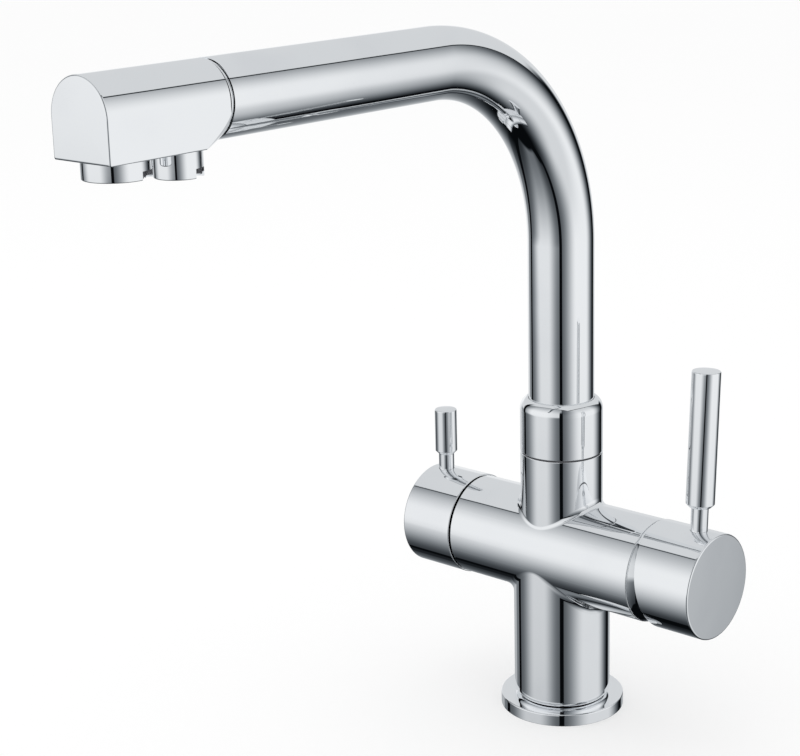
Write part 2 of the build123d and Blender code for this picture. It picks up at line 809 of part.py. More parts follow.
def filter_spindle():
    plate = rod_x(filter_disc_radius - running_gap, spindle_shoulder_station, spindle_plate_station)
    port = Rot(90, 0, 0) * half_port(spindle_shoulder_station - overrun, spindle_plate_station + overrun)
    plate -= port + Rot(180, 0, 0) * port
    shaft = rod_x(spindle_radius, spline_station, spindle_shoulder_station + overrun)
    spline = rod_x(spindle_spline_radius, spindle_end_station, clip_end_station)
    solid = plate + shaft + spline
    for station in spindle_ring_stations():
        solid -= ring_groove_x(spindle_radius, spindle_ring_groove_depth, station, spindle_ring_groove_width)
    middle = clip_station - clip_thickness / 2
    solid -= ring_groove_x(spindle_radius, clip_groove_depth, middle, clip_thickness + fitting_gap)
    return barrel_frame * solid


def spindle_ring_stations():
    return [spindle_ring_first_station - i * spindle_ring_spacing for i in range(2)]


def filter_spindle_rings():
    thickness = spindle_ring_groove_depth - lapped_gap
    rings = []
    for station in spindle_ring_stations():
        ring = Torus(spindle_radius - thickness / 2, thickness / 2)
        rings.append(barrel_frame * Pos(station, 0, 0) * Rot(0, 90, 0) * ring)
    return Compound(children=rings)


def filter_spindle_clip():
    bore_radius = spindle_radius - clip_groove_depth + fitting_gap
    ring = rod_x(clip_radius, clip_end_station, clip_station)
    ring -= rod_x(bore_radius, clip_end_station - overrun, clip_station + overrun)
    half = clip_mouth_width / 2
    mouth = block((clip_end_station - overrun, -half, -clip_radius - overrun), (clip_station + overrun, half, 0))
    return barrel_frame * (ring - mouth)


# Filter handle


def filter_knob():
    drum = rod_x(filter_knob_radius, filter_knob_front_station, filter_knob_back_station)
    drum = fillet(drum.edges().group_by(Axis.X)[0], knob_front_round)
    drum = chamfer(drum.edges().group_by(Axis.X)[-1], barrel_lip_bevel)
    inside_radius = filter_knob_radius - filter_knob_wall
    inside_end = filter_knob_front_station + filter_knob_front_thickness
    inside = rod_x(inside_radius, inside_end, filter_knob_back_station + overrun)
    boss = rod_x(knob_boss_radius, inside_end - overrun, filter_boss_station)
    post = rod_z(knob_post_radius, 0, inside_radius + overrun, x=filter_lever_station)
    post += rod_z(knob_post_radius, -inside_radius - overrun, 0, x=filter_grub_station)
    shell = drum - inside + boss + post
    socket_end = spindle_end_station - fitting_gap
    shell -= rod_x(spindle_spline_radius + running_gap, socket_end, filter_boss_station + overrun)
    shell -= lever_seat_cuts(filter_knob_radius, filter_neck_radius, filter_lever_station)
    shell -= rod_z(grub_screw_radius + running_gap, -filter_knob_radius - overrun, 0, x=filter_grub_station)
    return barrel_frame * shell


def filter_lever():
    shape = lever(filter_knob_radius, filter_neck_radius, filter_neck_top, filter_grip_radius, filter_grip_top)
    return barrel_frame * Pos(filter_lever_station, 0, 0) * shape


def filter_grub_screw():
    return barrel_frame * Pos(filter_grub_station, 0, 0) * grub_screw(spindle_spline_radius)


# Foot of the spout


def spout_slip_bush():
    barrel_part = rod_z(bush_outer_radius - running_gap, socket_top_height - bush_depth, socket_top_height)
    flange = rod_z(bush_flange_radius, socket_top_height, bush_flange_height)
    bore_bottom = socket_top_height - bush_depth - overrun
    bore = rod_z(spigot_radius + running_gap, bore_bottom, bush_flange_height + overrun)
    return barrel_part + flange - bore


def retaining_screw():
    tip = spigot_radius - retaining_groove_depth + retaining_point_gap
    thread_start = tip + retaining_point_length
    thread_end = socket_radius - socket_lip_bevel
    thread = rod_y(retaining_screw_radius, thread_start, thread_end, z=retaining_height)
    point = rod_y(retaining_point_radius, tip, thread_start + overrun, z=retaining_height)
    key = hex_key_socket(retaining_screw_radius, thread_end - thread_start)
    return thread + point - Pos(0, thread_end, retaining_height) * Rot(-90, 0, 0) * key


def spigot_ring_heights():
    return [spigot_ring_height + i * spigot_ring_spacing for i in range(spigot_ring_count)]


def spigot_ring_centre():
    """The radius of the middle of a spigot ring, which just clears the socket's bore."""
    return socket_bore_radius - running_gap - spigot_ring_thickness / 2


def spout_spigot():
    shaft = rod_z(spigot_radius, socket_floor_height + spigot_lift, collar_bottom_height + overrun)
    flange = rod_z(spigot_flange_radius, collar_bottom_height, tube_foot_height)
    neck = rod_z(tube_inner_radius - fitting_gap, tube_foot_height - overrun, spigot_top_height)
    bore = rod_z(spigot_bore_radius, socket_floor_height, spigot_top_height + overrun)
    solid = shaft + flange + neck - bore
    ring_floor = spigot_ring_centre() - spigot_ring_thickness / 2 - running_gap
    for height in spigot_ring_heights():
        solid -= ring_groove_z(spigot_radius, spigot_radius - ring_floor, height, spigot_ring_groove_width)
    solid -= ring_groove_z(spigot_radius, retaining_groove_depth, retaining_height, retaining_groove_width)
    return solid


def spout_spigot_rings():
    ring = Torus(spigot_ring_centre(), spigot_ring_thickness / 2)
    return Compound(children=[Pos(0, 0, height) * ring for height in spigot_ring_heights()])


def spout_collar():
    """A sleeve over the tube's foot, with a slow round shoulder that ends in a thin flat rim."""
    shoulder_height = collar_top_height - collar_shoulder_drop
    inner = tube_radius + fitting_gap
    middle = shoulder_height + collar_shoulder_drop / 2
    centre_radius = socket_radius - collar_shoulder_radius
    middle_radius = centre_radius + math.sqrt(collar_shoulder_radius**2 - (collar_shoulder_drop / 2) ** 2)
    wall = Polyline(
        (socket_radius, shoulder_height),
        (socket_radius, collar_bottom_height + socket_lip_bevel),
        (socket_radius - socket_lip_bevel, collar_bottom_height),
        (inner, collar_bottom_height),
        (inner, collar_top_height - collar_mouth_bevel),
        (inner + collar_mouth_bevel, collar_top_height),
        (collar_top_radius, collar_top_height),
    )
    shoulder = ThreePointArc(
        (collar_top_radius, collar_top_height), (middle_radius, middle), (socket_radius, shoulder_height)
    )
    section = make_face([wall, shoulder])
    sleeve = revolve(Plane.XZ * section, Axis.Z)
    seat = rod_z(spigot_flange_radius + fitting_gap, collar_bottom_height - overrun, tube_foot_height)
    return sleeve - seat


# Spout tube and the small tube inside it


def spout_path(bottom, reach, radius):
    """The middle line of the spout: up the column's axis, round the bend and out along the arm."""
    return FilletPolyline((0, 0, bottom), (0, 0, arm_height), (0, -reach, arm_height), radius=radius)


def bent_tube(outer, inner, bottom, reach, bend):
    path = spout_path(bottom, reach, bend)
    section = Pos(0, 0, bottom) * (Circle(outer) - Circle(inner))
    return sweep(section, path=path)


def spout_tube():
    return bent_tube(tube_radius, tube_inner_radius, tube_foot_height, tube_end_reach, bend_radius)


def filter_tube():
    inner = filter_tube_radius - filter_tube_wall
    return bent_tube(filter_tube_radius, inner, nipple_shoulder_height, tube_stop_reach, bend_radius)


def filter_nipple():
    plug = rod_z(nipple_radius, nipple_bottom_height, nipple_shoulder_height)
    barb_radius = filter_tube_radius - filter_tube_wall - running_gap
    barb_top = nipple_shoulder_height + nipple_barb_length
    barb = rod_z(barb_radius, nipple_shoulder_height - overrun, barb_top)
    bore = rod_z(nipple_bore_radius, nipple_bottom_height - overrun, barb_top + overrun)
    depth = nipple_ring_thickness + running_gap
    groove = ring_groove_z(nipple_radius, depth, nipple_ring_height, nipple_ring_groove_width)
    return plug + barb - bore - groove


def filter_nipple_ring():
    half = nipple_ring_thickness / 2
    return Pos(0, 0, nipple_ring_height) * Torus(nipple_radius - half, half)


# Joint between tube and head


def head_joint_ring():
    ring = rod_y(joint_ring_radius, -head_back_reach, -tube_end_reach, z=arm_height)
    tail = rod_y(
        tube_inner_radius - fitting_gap, -tube_end_reach, -tube_end_reach + joint_tail_length, z=arm_height
    )
    nose = rod_y(joint_nose_radius, -head_back_reach - joint_nose_length, -head_back_reach, z=arm_height)
    bore = rod_y(
        joint_bore_radius,
        -head_back_reach - joint_nose_length - overrun,
        -tube_end_reach + joint_tail_length + overrun,
        z=arm_height,
    )
    depth = joint_seal_thickness + running_gap
    groove = ring_groove_y(joint_nose_radius, depth, -joint_seal_reach, joint_seal_groove_width, arm_height)
    return ring + tail + nose - bore - groove


def head_joint_seal():
    ring = Torus(joint_nose_radius - joint_seal_thickness / 2, joint_seal_thickness / 2)
    return Pos(0, -joint_seal_reach, arm_height) * Rot(90, 0, 0) * ring


# Head


def head_outside():
    """A bar with a round top and a square lower half, turned down at its back to a cone."""
    bar = rod_y(head_radius, -head_front_reach, -head_back_reach, z=arm_height)
    bar += block(
        (-head_radius, -head_front_reach, head_underside_height), (head_radius, -head_back_reach, arm_height)
    )
    front = bar.edges().group_by(Axis.Y)[0]
    bar = fillet(front, head_edge_round)
    wide = head_radius + head_front_reach - head_back_reach
    rise = (wide - head_cone_back_radius) / math.tan(math.radians(head_cone_angle))
    waste = Polyline(
        (head_cone_back_radius, head_back_reach),
        (wide, head_back_reach + rise),
        (wide, head_back_reach - overrun),
        (head_cone_back_radius, head_back_reach - overrun),
        close=True,
    )
    ring = revolve(Plane.XY * make_face(waste), Axis.Y)
    return bar - Pos(0, 0, arm_height) * Rot(0, 0, 180) * ring


def head_hollow():
    """The main water's chamber, less the boss that carries filtered water down through it."""
    chamber = rod_y(head_chamber_radius, -head_chamber_front_reach, -head_pocket_reach, z=arm_height)
    chamber -= rod_z(tube_boss_radius, head_underside_height, arm_height, y=-filter_outlet_reach)
    chamber -= rod_z(
        filter_thread_radius + nozzle_boss_wall,
        head_underside_height,
        head_underside_height + filter_socket_depth + nozzle_boss_wall,
        y=-filter_outlet_reach,
    )
    pocket = rod_y(joint_nose_radius + fitting_gap, -head_pocket_reach, -head_back_reach + overrun, z=arm_height)
    boss = rod_y(tube_boss_radius, -tube_boss_front_reach, -tube_boss_back_reach, z=arm_height)
    return chamber + pocket - boss


def spout_head():
    solid = head_outside() - head_hollow()
    hole_radius = filter_tube_radius + running_gap
    tube_hole = rod_y(hole_radius, -tube_stop_reach, -tube_boss_back_reach + overrun, z=arm_height)
    across = rod_y(head_way_radius, -filter_outlet_reach, -tube_stop_reach + overrun, z=arm_height)
    down = rod_z(head_way_radius, head_underside_height, arm_height, y=-filter_outlet_reach)
    main_socket = rod_z(
        main_thread_radius + fitting_gap,
        head_underside_height - overrun,
        head_underside_height + main_socket_depth,
        y=-main_outlet_reach,
    )
    filter_socket = rod_z(
        filter_thread_radius + fitting_gap,
        head_underside_height - overrun,
        head_underside_height + filter_socket_depth,
        y=-filter_outlet_reach,
    )
    return solid - tube_hole - across - down - main_socket - filter_socket


# Outlets


def outlet_housing(radius, length, thread_radius, thread_length, bore_radius, notch_width, notch_height):
    """A threaded sleeve that hangs under the head from zero, with two spanner notches in its lower rim."""
    lip_bore = bore_radius - insert_wall / 2
    sleeve = rod_z(radius, -length, 0)
    sleeve = fillet(sleeve.edges().group_by(Axis.Z)[0], outlet_edge_round)
    thread = rod_z(thread_radius, -overrun, thread_length)
    bore = rod_z(bore_radius, -length + insert_lip_thickness, thread_length + overrun)
    mouth = rod_z(lip_bore, -length - overrun, 0)
    solid = sleeve + thread - bore - mouth
    half = notch_width / 2
    slot = block((-radius - overrun, -half, -length - overrun), (radius + overrun, half, -length + notch_height))
    core = rod_z(bore_radius, -length, -length + notch_height + overrun)
    return solid - Rot(0, 0, outlet_notch_angle) * (slot - core)


def outlet_insert(radius, bottom, top):
    """A plastic flow straightener: a pierced disc at the mouth, a rim and a solid upper core."""
    cup = rod_z(radius, bottom, top)
    core_bottom = top - insert_core_thickness
    cup -= rod_z(radius - insert_wall, bottom + insert_face_thickness, core_bottom)
    across = int((radius - insert_wall - outlet_hole_radius) / outlet_hole_pitch)
    steps = range(-across, across + 1)
    places = [(i * outlet_hole_pitch, j * outlet_hole_pitch) for i in steps for j in steps]
    limit = radius - insert_wall - outlet_hole_radius
    for x, y in places:
        if math.hypot(x, y) <= limit:
            cup -= rod_z(outlet_hole_radius, bottom - overrun, top + overrun, x, y)
    return cup


def outlet_gasket(outer, inner, bottom, top):
    return rod_z(outer, bottom, top) - rod_z(inner, bottom - overrun, top + overrun)


def main_frame():
    return Pos(0, -main_outlet_reach, head_underside_height)


def filter_frame():
    return Pos(0, -filter_outlet_reach, head_underside_height)


def main_aerator_housing():
    return main_frame() * outlet_housing(
        main_outlet_radius,
        main_outlet_length,
        main_thread_radius,
        main_thread_length,
        main_bore_radius,
        main_notch_width,
        main_notch_height,
    )


def main_aerator_insert():
    bottom = -main_outlet_length + insert_lip_thickness
    return main_frame() * outlet_insert(main_bore_radius - fitting_gap, bottom, main_thread_length)


def main_aerator_gasket():
    inner = main_bore_radius - insert_wall
    outer = main_thread_radius - fitting_gap
    return main_frame() * outlet_gasket(outer, inner, main_thread_length, main_socket_depth)


def filter_nozzle_housing():
    return filter_frame() * outlet_housing(
        filter_outlet_radius,
        filter_outlet_length,
        filter_thread_radius,
        filter_thread_length,
        filter_bore_radius,
        filter_notch_width,
        filter_notch_height,
    )


def filter_nozzle_insert():
    bottom = -filter_outlet_length + insert_lip_thickness
    return filter_frame() * outlet_insert(filter_bore_radius - fitting_gap, bottom, filter_thread_length)


def filter_nozzle_gasket():
    inner = filter_bore_radius - insert_wall
    outer = filter_thread_radius - fitting_gap
    return filter_frame() * outlet_gasket(outer, inner, filter_thread_length, filter_socket_depth)


# Every piece of the tap, by the name of its file

pieces = {
    "base_flange": base_flange,
    "base_seal": base_seal,
    "body": body,
    "inlet_block": inlet_block,
    "mixer_cartridge_housing": cartridge_housing,
    "mixer_port_seals": cartridge_port_seals,
    "mixer_fixed_disc": mixer_fixed_disc,
    "mixer_moving_disc": mixer_moving_disc,
    "mixer_disc_carrier": mixer_disc_carrier,
    "mixer_rotor": mixer_rotor,
    "mixer_stem_pin": mixer_stem_pin,
    "mixer_stem": mixer_stem,
    "mixer_retaining_nut": mixer_retaining_nut,
    "mixer_dome_ring": mixer_dome_ring,
    "mixer_knob": mixer_knob,
    "mixer_lever": mixer_lever,
    "mixer_grub_screw": mixer_grub_screw,
    "filter_headwork_body": filter_headwork_body,
    "filter_headwork_washer": filter_headwork_washer,
    "filter_seat_seal": filter_seat_seal,
    "filter_fixed_disc": filter_fixed_disc,
    "filter_moving_disc": filter_moving_disc,
    "filter_spindle": filter_spindle,
    "filter_spindle_rings": filter_spindle_rings,
    "filter_spindle_clip": filter_spindle_clip,
    "filter_knob": filter_knob,
    "filter_lever": filter_lever,
    "filter_grub_screw": filter_grub_screw,
    "spout_slip_bush": spout_slip_bush,
    "spout_retaining_screw": retaining_screw,
    "spout_spigot": spout_spigot,
    "spout_spigot_rings": spout_spigot_rings,
    "spout_collar": spout_collar,
    "spout_tube": spout_tube,
    "filter_tube": filter_tube,
    "filter_nipple": filter_nipple,
    "filter_nipple_ring": filter_nipple_ring,
    "head_joint_ring": head_joint_ring,
    "head_joint_seal": head_joint_seal,
    "spout_head": spout_head,
    "main_aerator_housing": main_aerator_housing,
    "main_aerator_insert": main_aerator_insert,
    "main_aerator_gasket": main_aerator_gasket,
    "filter_nozzle_housing": filter_nozzle_housing,
    "filter_nozzle_insert": filter_nozzle_insert,
    "filter_nozzle_gasket": filter_nozzle_gasket,
}

os.makedirs("parts", exist_ok=True)
for name, make in pieces.items():
    export_step(make(), f"parts/{name}.step")
print(f"{len(pieces)} pieces written")
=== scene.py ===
# %% [markdown]
# A three-way kitchen tap in polished chrome. The long lever on the right mixes hot and cold water, the
# short one on the left opens the drinking water, and the spout keeps the two apart up to its two outlets.
# The measured model is the frame: it says where every piece is, and nothing here changes a size. The
# visible chrome is made again with finer surfaces, because a mirror finish shows every facet.

# %% Load the measured model
import json
import math

import bmesh
import bpy
from mathutils import Matrix, Vector


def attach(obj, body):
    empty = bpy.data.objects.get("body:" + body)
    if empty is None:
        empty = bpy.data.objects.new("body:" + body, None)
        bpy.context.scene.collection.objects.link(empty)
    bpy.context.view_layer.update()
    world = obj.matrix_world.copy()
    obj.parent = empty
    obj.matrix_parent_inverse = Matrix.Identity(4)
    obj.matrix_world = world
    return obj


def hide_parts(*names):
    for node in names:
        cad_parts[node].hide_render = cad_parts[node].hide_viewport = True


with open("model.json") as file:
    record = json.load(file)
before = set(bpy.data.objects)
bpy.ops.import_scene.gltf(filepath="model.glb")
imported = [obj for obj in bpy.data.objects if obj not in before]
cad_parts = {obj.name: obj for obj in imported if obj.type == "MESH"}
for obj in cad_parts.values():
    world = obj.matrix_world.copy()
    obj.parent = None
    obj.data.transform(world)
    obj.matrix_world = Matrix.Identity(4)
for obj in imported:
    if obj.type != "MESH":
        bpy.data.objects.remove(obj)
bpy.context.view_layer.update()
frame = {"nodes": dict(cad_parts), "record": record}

# %% [markdown]
# The picture is taken from the front right and a little above, with a long lens, so the upright lines
# stay almost parallel. The camera's three directions are written out, because the frame of the picture
# is tipped by a degree and a half, which a look-at helper can't give.

# %% The camera
camera_place = Vector((0.48046, -0.63481, 0.37540))
yaw, pitch, roll = (math.radians(angle) for angle in (42.07, 15.77, -1.52))
ahead = Vector((-math.sin(yaw) * math.cos(pitch), math.cos(yaw) * math.cos(pitch), -math.sin(pitch)))
level_right = Vector((math.cos(yaw), math.sin(yaw), 0))
level_up = level_right.cross(ahead)
right = math.cos(roll) * level_right + math.sin(roll) * level_up
up = math.cos(roll) * level_up - math.sin(roll) * level_right

camera = bpy.data.objects.new("camera", bpy.data.cameras.new("camera"))
camera.matrix_world = Matrix((right, up, -ahead)).transposed().to_4x4()
camera.location = camera_place
camera.data.sensor_width = 36
camera.data.lens = 87.08
bpy.context.scene.collection.objects.link(camera)
bpy.context.scene.camera = camera
bpy.context.scene.view_settings.view_transform = "Standard"
print("camera looks along", tuple(round(part, 3) for part in ahead))

# %% [markdown]
# Shaders and geometry rules are both trees of nodes. Written as sums they read like a formula, so one
# small class stands for an output socket and turns each plus, minus or times into a Math node. Every
# other node is added by one method, which takes its type, its settings and what goes into its sockets.


# %% Node trees written as sums
class Wire:
    """An output socket. Sums and products with it add Math nodes to its tree."""

    def __init__(self, tree, socket):
        self.tree = tree
        self.socket = socket

    def __add__(self, other):
        return self.tree.math("ADD", self, other)

    def __radd__(self, other):
        return self.tree.math("ADD", other, self)

    def __sub__(self, other):
        return self.tree.math("SUBTRACT", self, other)

    def __rsub__(self, other):
        return self.tree.math("SUBTRACT", other, self)

    def __mul__(self, other):
        return self.tree.math("MULTIPLY", self, other)

    def __rmul__(self, other):
        return self.tree.math("MULTIPLY", other, self)

    def __truediv__(self, other):
        return self.tree.math("DIVIDE", self, other)

    def __pow__(self, other):
        return self.tree.math("POWER", self, other)


class Tree:
    """A node tree, cleared, that nodes are added to."""

    def __init__(self, nodes):
        self.nodes = nodes
        self.nodes.nodes.clear()

    def add(self, kind, settings=None, inputs=None):
        """Adds a node and gives its outputs by name."""
        node = self.nodes.nodes.new(kind)
        for setting, value in (settings or {}).items():
            setattr(node, setting, value)
        for name, value in (inputs or {}).items():
            self.feed(node, name, value)
        return {socket.name: Wire(self, socket) for socket in node.outputs if socket.enabled}

    def feed(self, node, name, value):
        """Puts a number, a wire or several wires into a socket."""
        if isinstance(name, int):
            socket = node.inputs[name]
        else:
            socket = next(s for s in node.inputs if s.enabled and s.name == name)
        if isinstance(value, list):
            for wire in value:
                self.nodes.links.new(wire.socket, socket)
        elif isinstance(value, Wire):
            self.nodes.links.new(value.socket, socket)
        else:
            socket.default_value = value

    def math(self, operation, first, second=0.0):
        return self.add("ShaderNodeMath", {"operation": operation}, {0: first, 1: second})["Value"]

    def rise(self, value, low, high):
        """0 below low, 1 above high and a smooth rise between them."""
        inputs = {"Value": value, "From Min": low, "From Max": high}
        return self.add("ShaderNodeMapRange", {"interpolation_type": "SMOOTHSTEP"}, inputs)["Result"]

    def blend(self, share, first, second):
        """A colour between two colours."""
        inputs = {"Factor": share, "A": first, "B": second}
        return self.add("ShaderNodeMix", {"data_type": "RGBA"}, inputs)["Result"]


print("node helpers ready")

# %% [markdown]
# Chrome has no colour of its own: it is a mirror, so the look of the tap is the look of the studio. A
# product studio for chrome is a tunnel of big white screens with narrow black gaps between them, and it
# is the black gaps that draw the dark lines down a round tube. The screens could be lit planes, but
# their soft falls are easier to shape as a formula over the direction of a ray: its compass direction,
# its height over the horizon, and its height as seen along the tap's two level axes, its tilts. All are
# in degrees, so each pair of numbers below is where a change of light begins and ends.
# Camera rays see plain white instead, and so does matt stuff, as if the room were white all round.

# %% The studio
studio = bpy.data.worlds.new("studio")
studio.use_nodes = True
bpy.context.scene.world = studio
room = Tree(studio.node_tree)
ray = room.add("ShaderNodeSeparateXYZ", {}, {"Vector": room.add("ShaderNodeTexCoord")["Generated"]})
degrees = 180 / math.pi
compass = degrees * room.math("ARCTAN2", ray["Y"], ray["X"])
height = degrees * room.math("ARCSINE", ray["Z"])
right_tilt = degrees * room.math("ARCTAN2", ray["Z"], ray["X"])
front_tilt = degrees * room.math("ARCTAN2", ray["Z"], -1 * ray["Y"])


def away(value, middle):
    """How far a value is from a middle value, either way."""
    return room.math("ABSOLUTE", value - middle)


def gap(value, middle, half_width, softness=1.2):
    """1 in a strip round a middle value, with soft edges."""
    return 1 - room.rise(away(value, middle), half_width - softness, half_width + softness)


# %% The left screen, which darkens towards its foot and towards the ceiling
left_fall = (0.45 + 0.55 * room.rise(height, -72.0, 0.0)) * (1 - 0.3 * room.rise(front_tilt, 20.0, 78.0))
left_foot = room.rise(height - 12 * room.rise(compass, -80.0, -60.0), -78.0, -72.0)
far_side = room.rise(compass + 18 * room.rise(height, -18.0, -6.0), -168.0, -122.0)
near_side = 1 - room.rise(compass, -98.0, -57.0) * (1 - 0.8 * room.rise(height, -16.0, 0.0))
left_screen = (0.43 + 0.51 * far_side * near_side) * left_fall * left_foot

# %% The right screen and the back screen with its window
right_fall = (0.9 + 0.1 * room.rise(height, -28.0, -12.0)) * room.rise(height, -90.0, -40.0)
right_fall = right_fall * (1 - 0.14 * room.rise(right_tilt, 10.0, 52.0))
right_screen = (0.34 + 0.6 * room.rise(compass, -58.0, 2.0)) * (1 - room.rise(compass, 42.0, 96.0))
right_screen = right_screen * right_fall

back_screen = 0.86 * room.rise(height, -75.0, -5.0) * room.rise(compass, 88.0, 102.0)
far_corner = room.rise(compass, 162.0, 168.0) * (1 - room.rise(height, -8.0, 2.0))
window = (1 - room.rise(away(compass, 142), 8.0, 22.0)) * (1 - room.rise(away(height, -4), 8.0, 18.0))
back_screen = back_screen * (1 - 0.35 * far_corner) + 0.12 * window

to_right = room.rise(compass, -53.0, -51.0)
to_back = room.rise(compass, 86.0, 92.0)
screens = left_screen * (1 - to_right) + right_screen * to_right * (1 - to_back) + back_screen * to_back
print("three screens, nodes so far:", len(studio.node_tree.nodes))

# %% The ceiling, the black gaps and the room's two looks
ceiling = room.rise(right_tilt, 56.6, 57.8) * room.rise(front_tilt, 70.6, 71.8)
ceiling = ceiling * room.rise(height, 6.0, 14.0)
right_edge = 0.75 * gap(right_tilt, 55.4, 1.5, 0.6) * room.rise(front_tilt, 69.0, 71.0)
front_edge = 0.55 * gap(front_tilt, 69.8, 1.1, 0.6) * room.rise(right_tilt, 55.0, 57.0)
edge_line = room.math("MAXIMUM", right_edge, front_edge) * room.rise(height, 2.0, 14.0)
screens = (screens * (1 - ceiling) + 0.84 * ceiling) * (1 - edge_line)
front_gap = gap(compass, -53.5, 4.4) * (1 - room.rise(height, 20.0, 50.0))
side_gap = gap(compass, 85.5, 4.0) * (1 - room.rise(height, -4.0, 10.0))
left_gap = gap(compass, -175.5, 5.5, 1.5) * (1 - room.rise(height, 20.0, 50.0))
screens = screens * (1 - front_gap) * (1 - side_gap) * (1 - left_gap)
seen = room.math("MAXIMUM", screens, 0.07)

# The powers turn brightness as it is seen into light. They differ a little, so that shadows are bluish.
light = {"X": 0.99 * seen**2.29, "Y": seen**2.2, "Z": 1.01 * seen**2.12}
cool_light = room.add("ShaderNodeCombineXYZ", {}, light)["Vector"]
mirrored = room.add("ShaderNodeLightPath")["Is Glossy Ray"]
colour = room.blend(mirrored, (1.0, 1.0, 1.0, 1.0), cool_light)
glow = room.add("ShaderNodeBackground", {}, {"Color": colour, "Strength": 1.0})["Background"]
room.add("ShaderNodeOutputWorld", {}, {"Surface": glow})
print("studio nodes:", len(studio.node_tree.nodes))

# %% [markdown]
# The floor is matt and almost white, so it melts into the background and keeps only the tap's own soft
# shadow. The chrome doesn't mirror it, because the screens of the studio reach below the tap. One wide,
# weak lamp overhead gives the shadow its side. For camera rays half of the floor's brightness is plain
# white, which keeps the shadow as faint as on a lit table.

# %% The floor and the lamp
floor_radius = 6.0
floor = bpy.data.objects.new("floor", bpy.data.meshes.new("floor"))
bpy.context.scene.collection.objects.link(floor)
disc = bmesh.new()
bmesh.ops.create_circle(disc, cap_ends=True, radius=floor_radius, segments=96)
disc.to_mesh(floor.data)
disc.free()
floor.visible_glossy = False

lamp = bpy.data.objects.new("wide_lamp", bpy.data.lights.new("wide_lamp", "AREA"))
lamp.data.size = 1.2
lamp.data.energy = 2.2
lamp.location = (-0.5, -0.3, 1.5)
lamp.rotation_euler = (-lamp.location).to_track_quat("-Z", "Y").to_euler()
lamp.visible_glossy = False
bpy.context.scene.collection.objects.link(lamp)
print("floor radius", floor_radius, "m, lamp at", tuple(round(part, 2) for part in lamp.location))

# %% [markdown]
# Each finish starts from a Principled shader. Numbers that are the same all over are set on its
# sockets, and what varies over the surface comes from noise on Object coordinates, in metres, so its
# spots have a real size on every piece. They change the tone, the roughness and the relief.


# %% A finish from constants and noise
def grain(tree, place, size, detail=2.0, stretch=(1, 1, 1)):
    """Noise whose spots are about this size in metres, drawn out along an axis by a stretch."""
    scale = tuple(1 / part for part in stretch)
    scaled = tree.add("ShaderNodeMapping", {}, {"Vector": place, "Scale": scale})["Vector"]
    noise = {"Vector": scaled, "Scale": 1 / size, "Detail": detail}
    return tree.add("ShaderNodeTexNoise", {}, noise)["Fac"]


def finish(name, inputs, spots, tones, roughness=None, depth=0, relief=None, limits=None, white=0):
    """A material whose spots of noise change its tone, its roughness and its relief.

    Roughness is a number and what the spots add to it. Limits keep only the strongest spots, the relief
    may have a noise of its own, and white is the share of plain white that the camera sees.
    """
    material = bpy.data.materials.new(name)
    material.use_nodes = True
    tree = Tree(material.node_tree)
    place = tree.add("ShaderNodeTexCoord")["Object"]
    share = grain(tree, place, *spots)
    if limits:
        share = tree.rise(share, *limits)
    light, dark = tones
    inputs = {**inputs, "Base Color": tree.blend(share, (*light, 1), (*dark, 1))}
    if roughness:
        inputs["Roughness"] = roughness[0] + roughness[1] * share
    if depth > 0:
        bump = {"Height": grain(tree, place, *relief) if relief else share, "Distance": depth}
        inputs["Normal"] = tree.add("ShaderNodeBump", {}, bump)["Normal"]
    shader = tree.add("ShaderNodeBsdfPrincipled", {}, inputs)["BSDF"]
    if white > 0:
        plain = tree.add("ShaderNodeEmission", {}, {"Color": (1, 1, 1, 1), "Strength": 1.0})["Emission"]
        shown = white * tree.add("ShaderNodeLightPath")["Is Camera Ray"]
        shader = tree.add("ShaderNodeMixShader", {}, {0: shown, 1: shader, 2: plain})["Shader"]
    tree.add("ShaderNodeOutputMaterial", {}, {"Surface": shader})
    return material


# %% [markdown]
# Chrome plate is a mirror with three faults that make it real: faint haze where it was wiped, a slow
# wave left from polishing the casting, and a hardly visible change of tone with the thickness of the
# plate. The haze goes into the roughness and the wave into the normal, both far weaker than they would
# be on a painted part.

# %% Polished chrome, and the pale floor
chrome = finish(
    "polished_chrome",
    {"Metallic": 1.0},
    spots=(0.035, 4.0),
    limits=(0.48, 0.72),
    tones=((0.945, 0.955, 0.965), (0.915, 0.925, 0.94)),
    roughness=(0.022, 0.03),
    relief=(0.022, 1.0),
    depth=0.00004,
)
pale_tones = ((0.955, 0.955, 0.955), (0.965, 0.965, 0.965))
matt = {"Roughness": 0.9, "Specular IOR Level": 0.1}
pale_floor = finish("pale_floor", matt, spots=(0.3,), tones=pale_tones, white=0.5)
floor.data.materials.append(pale_floor)
print("chrome and floor finishes:", chrome.name, pale_floor.name)

# %% [markdown]
# The pieces inside the tap show only when it is taken apart, or through a gap. Brass keeps the rings of
# the lathe, stainless steel a drawn grain, rubber a dull skin, the ceramic discs a fine speckle, and the
# plastics a slight mottle from the mould. The bush that the spout turns in and the straighteners in the
# outlets are coloured near black as painted shade, so that their gaps show as dark lines.


# %% The finishes inside
def moulded(name, light, dark):
    """A plastic with a slight mottle and the fine texture of its mould."""
    texture = (0.0003, 2.0)
    return finish(name, {}, (0.004, 4.0), (light, dark), (0.38, 0.12), 0.00001, texture)


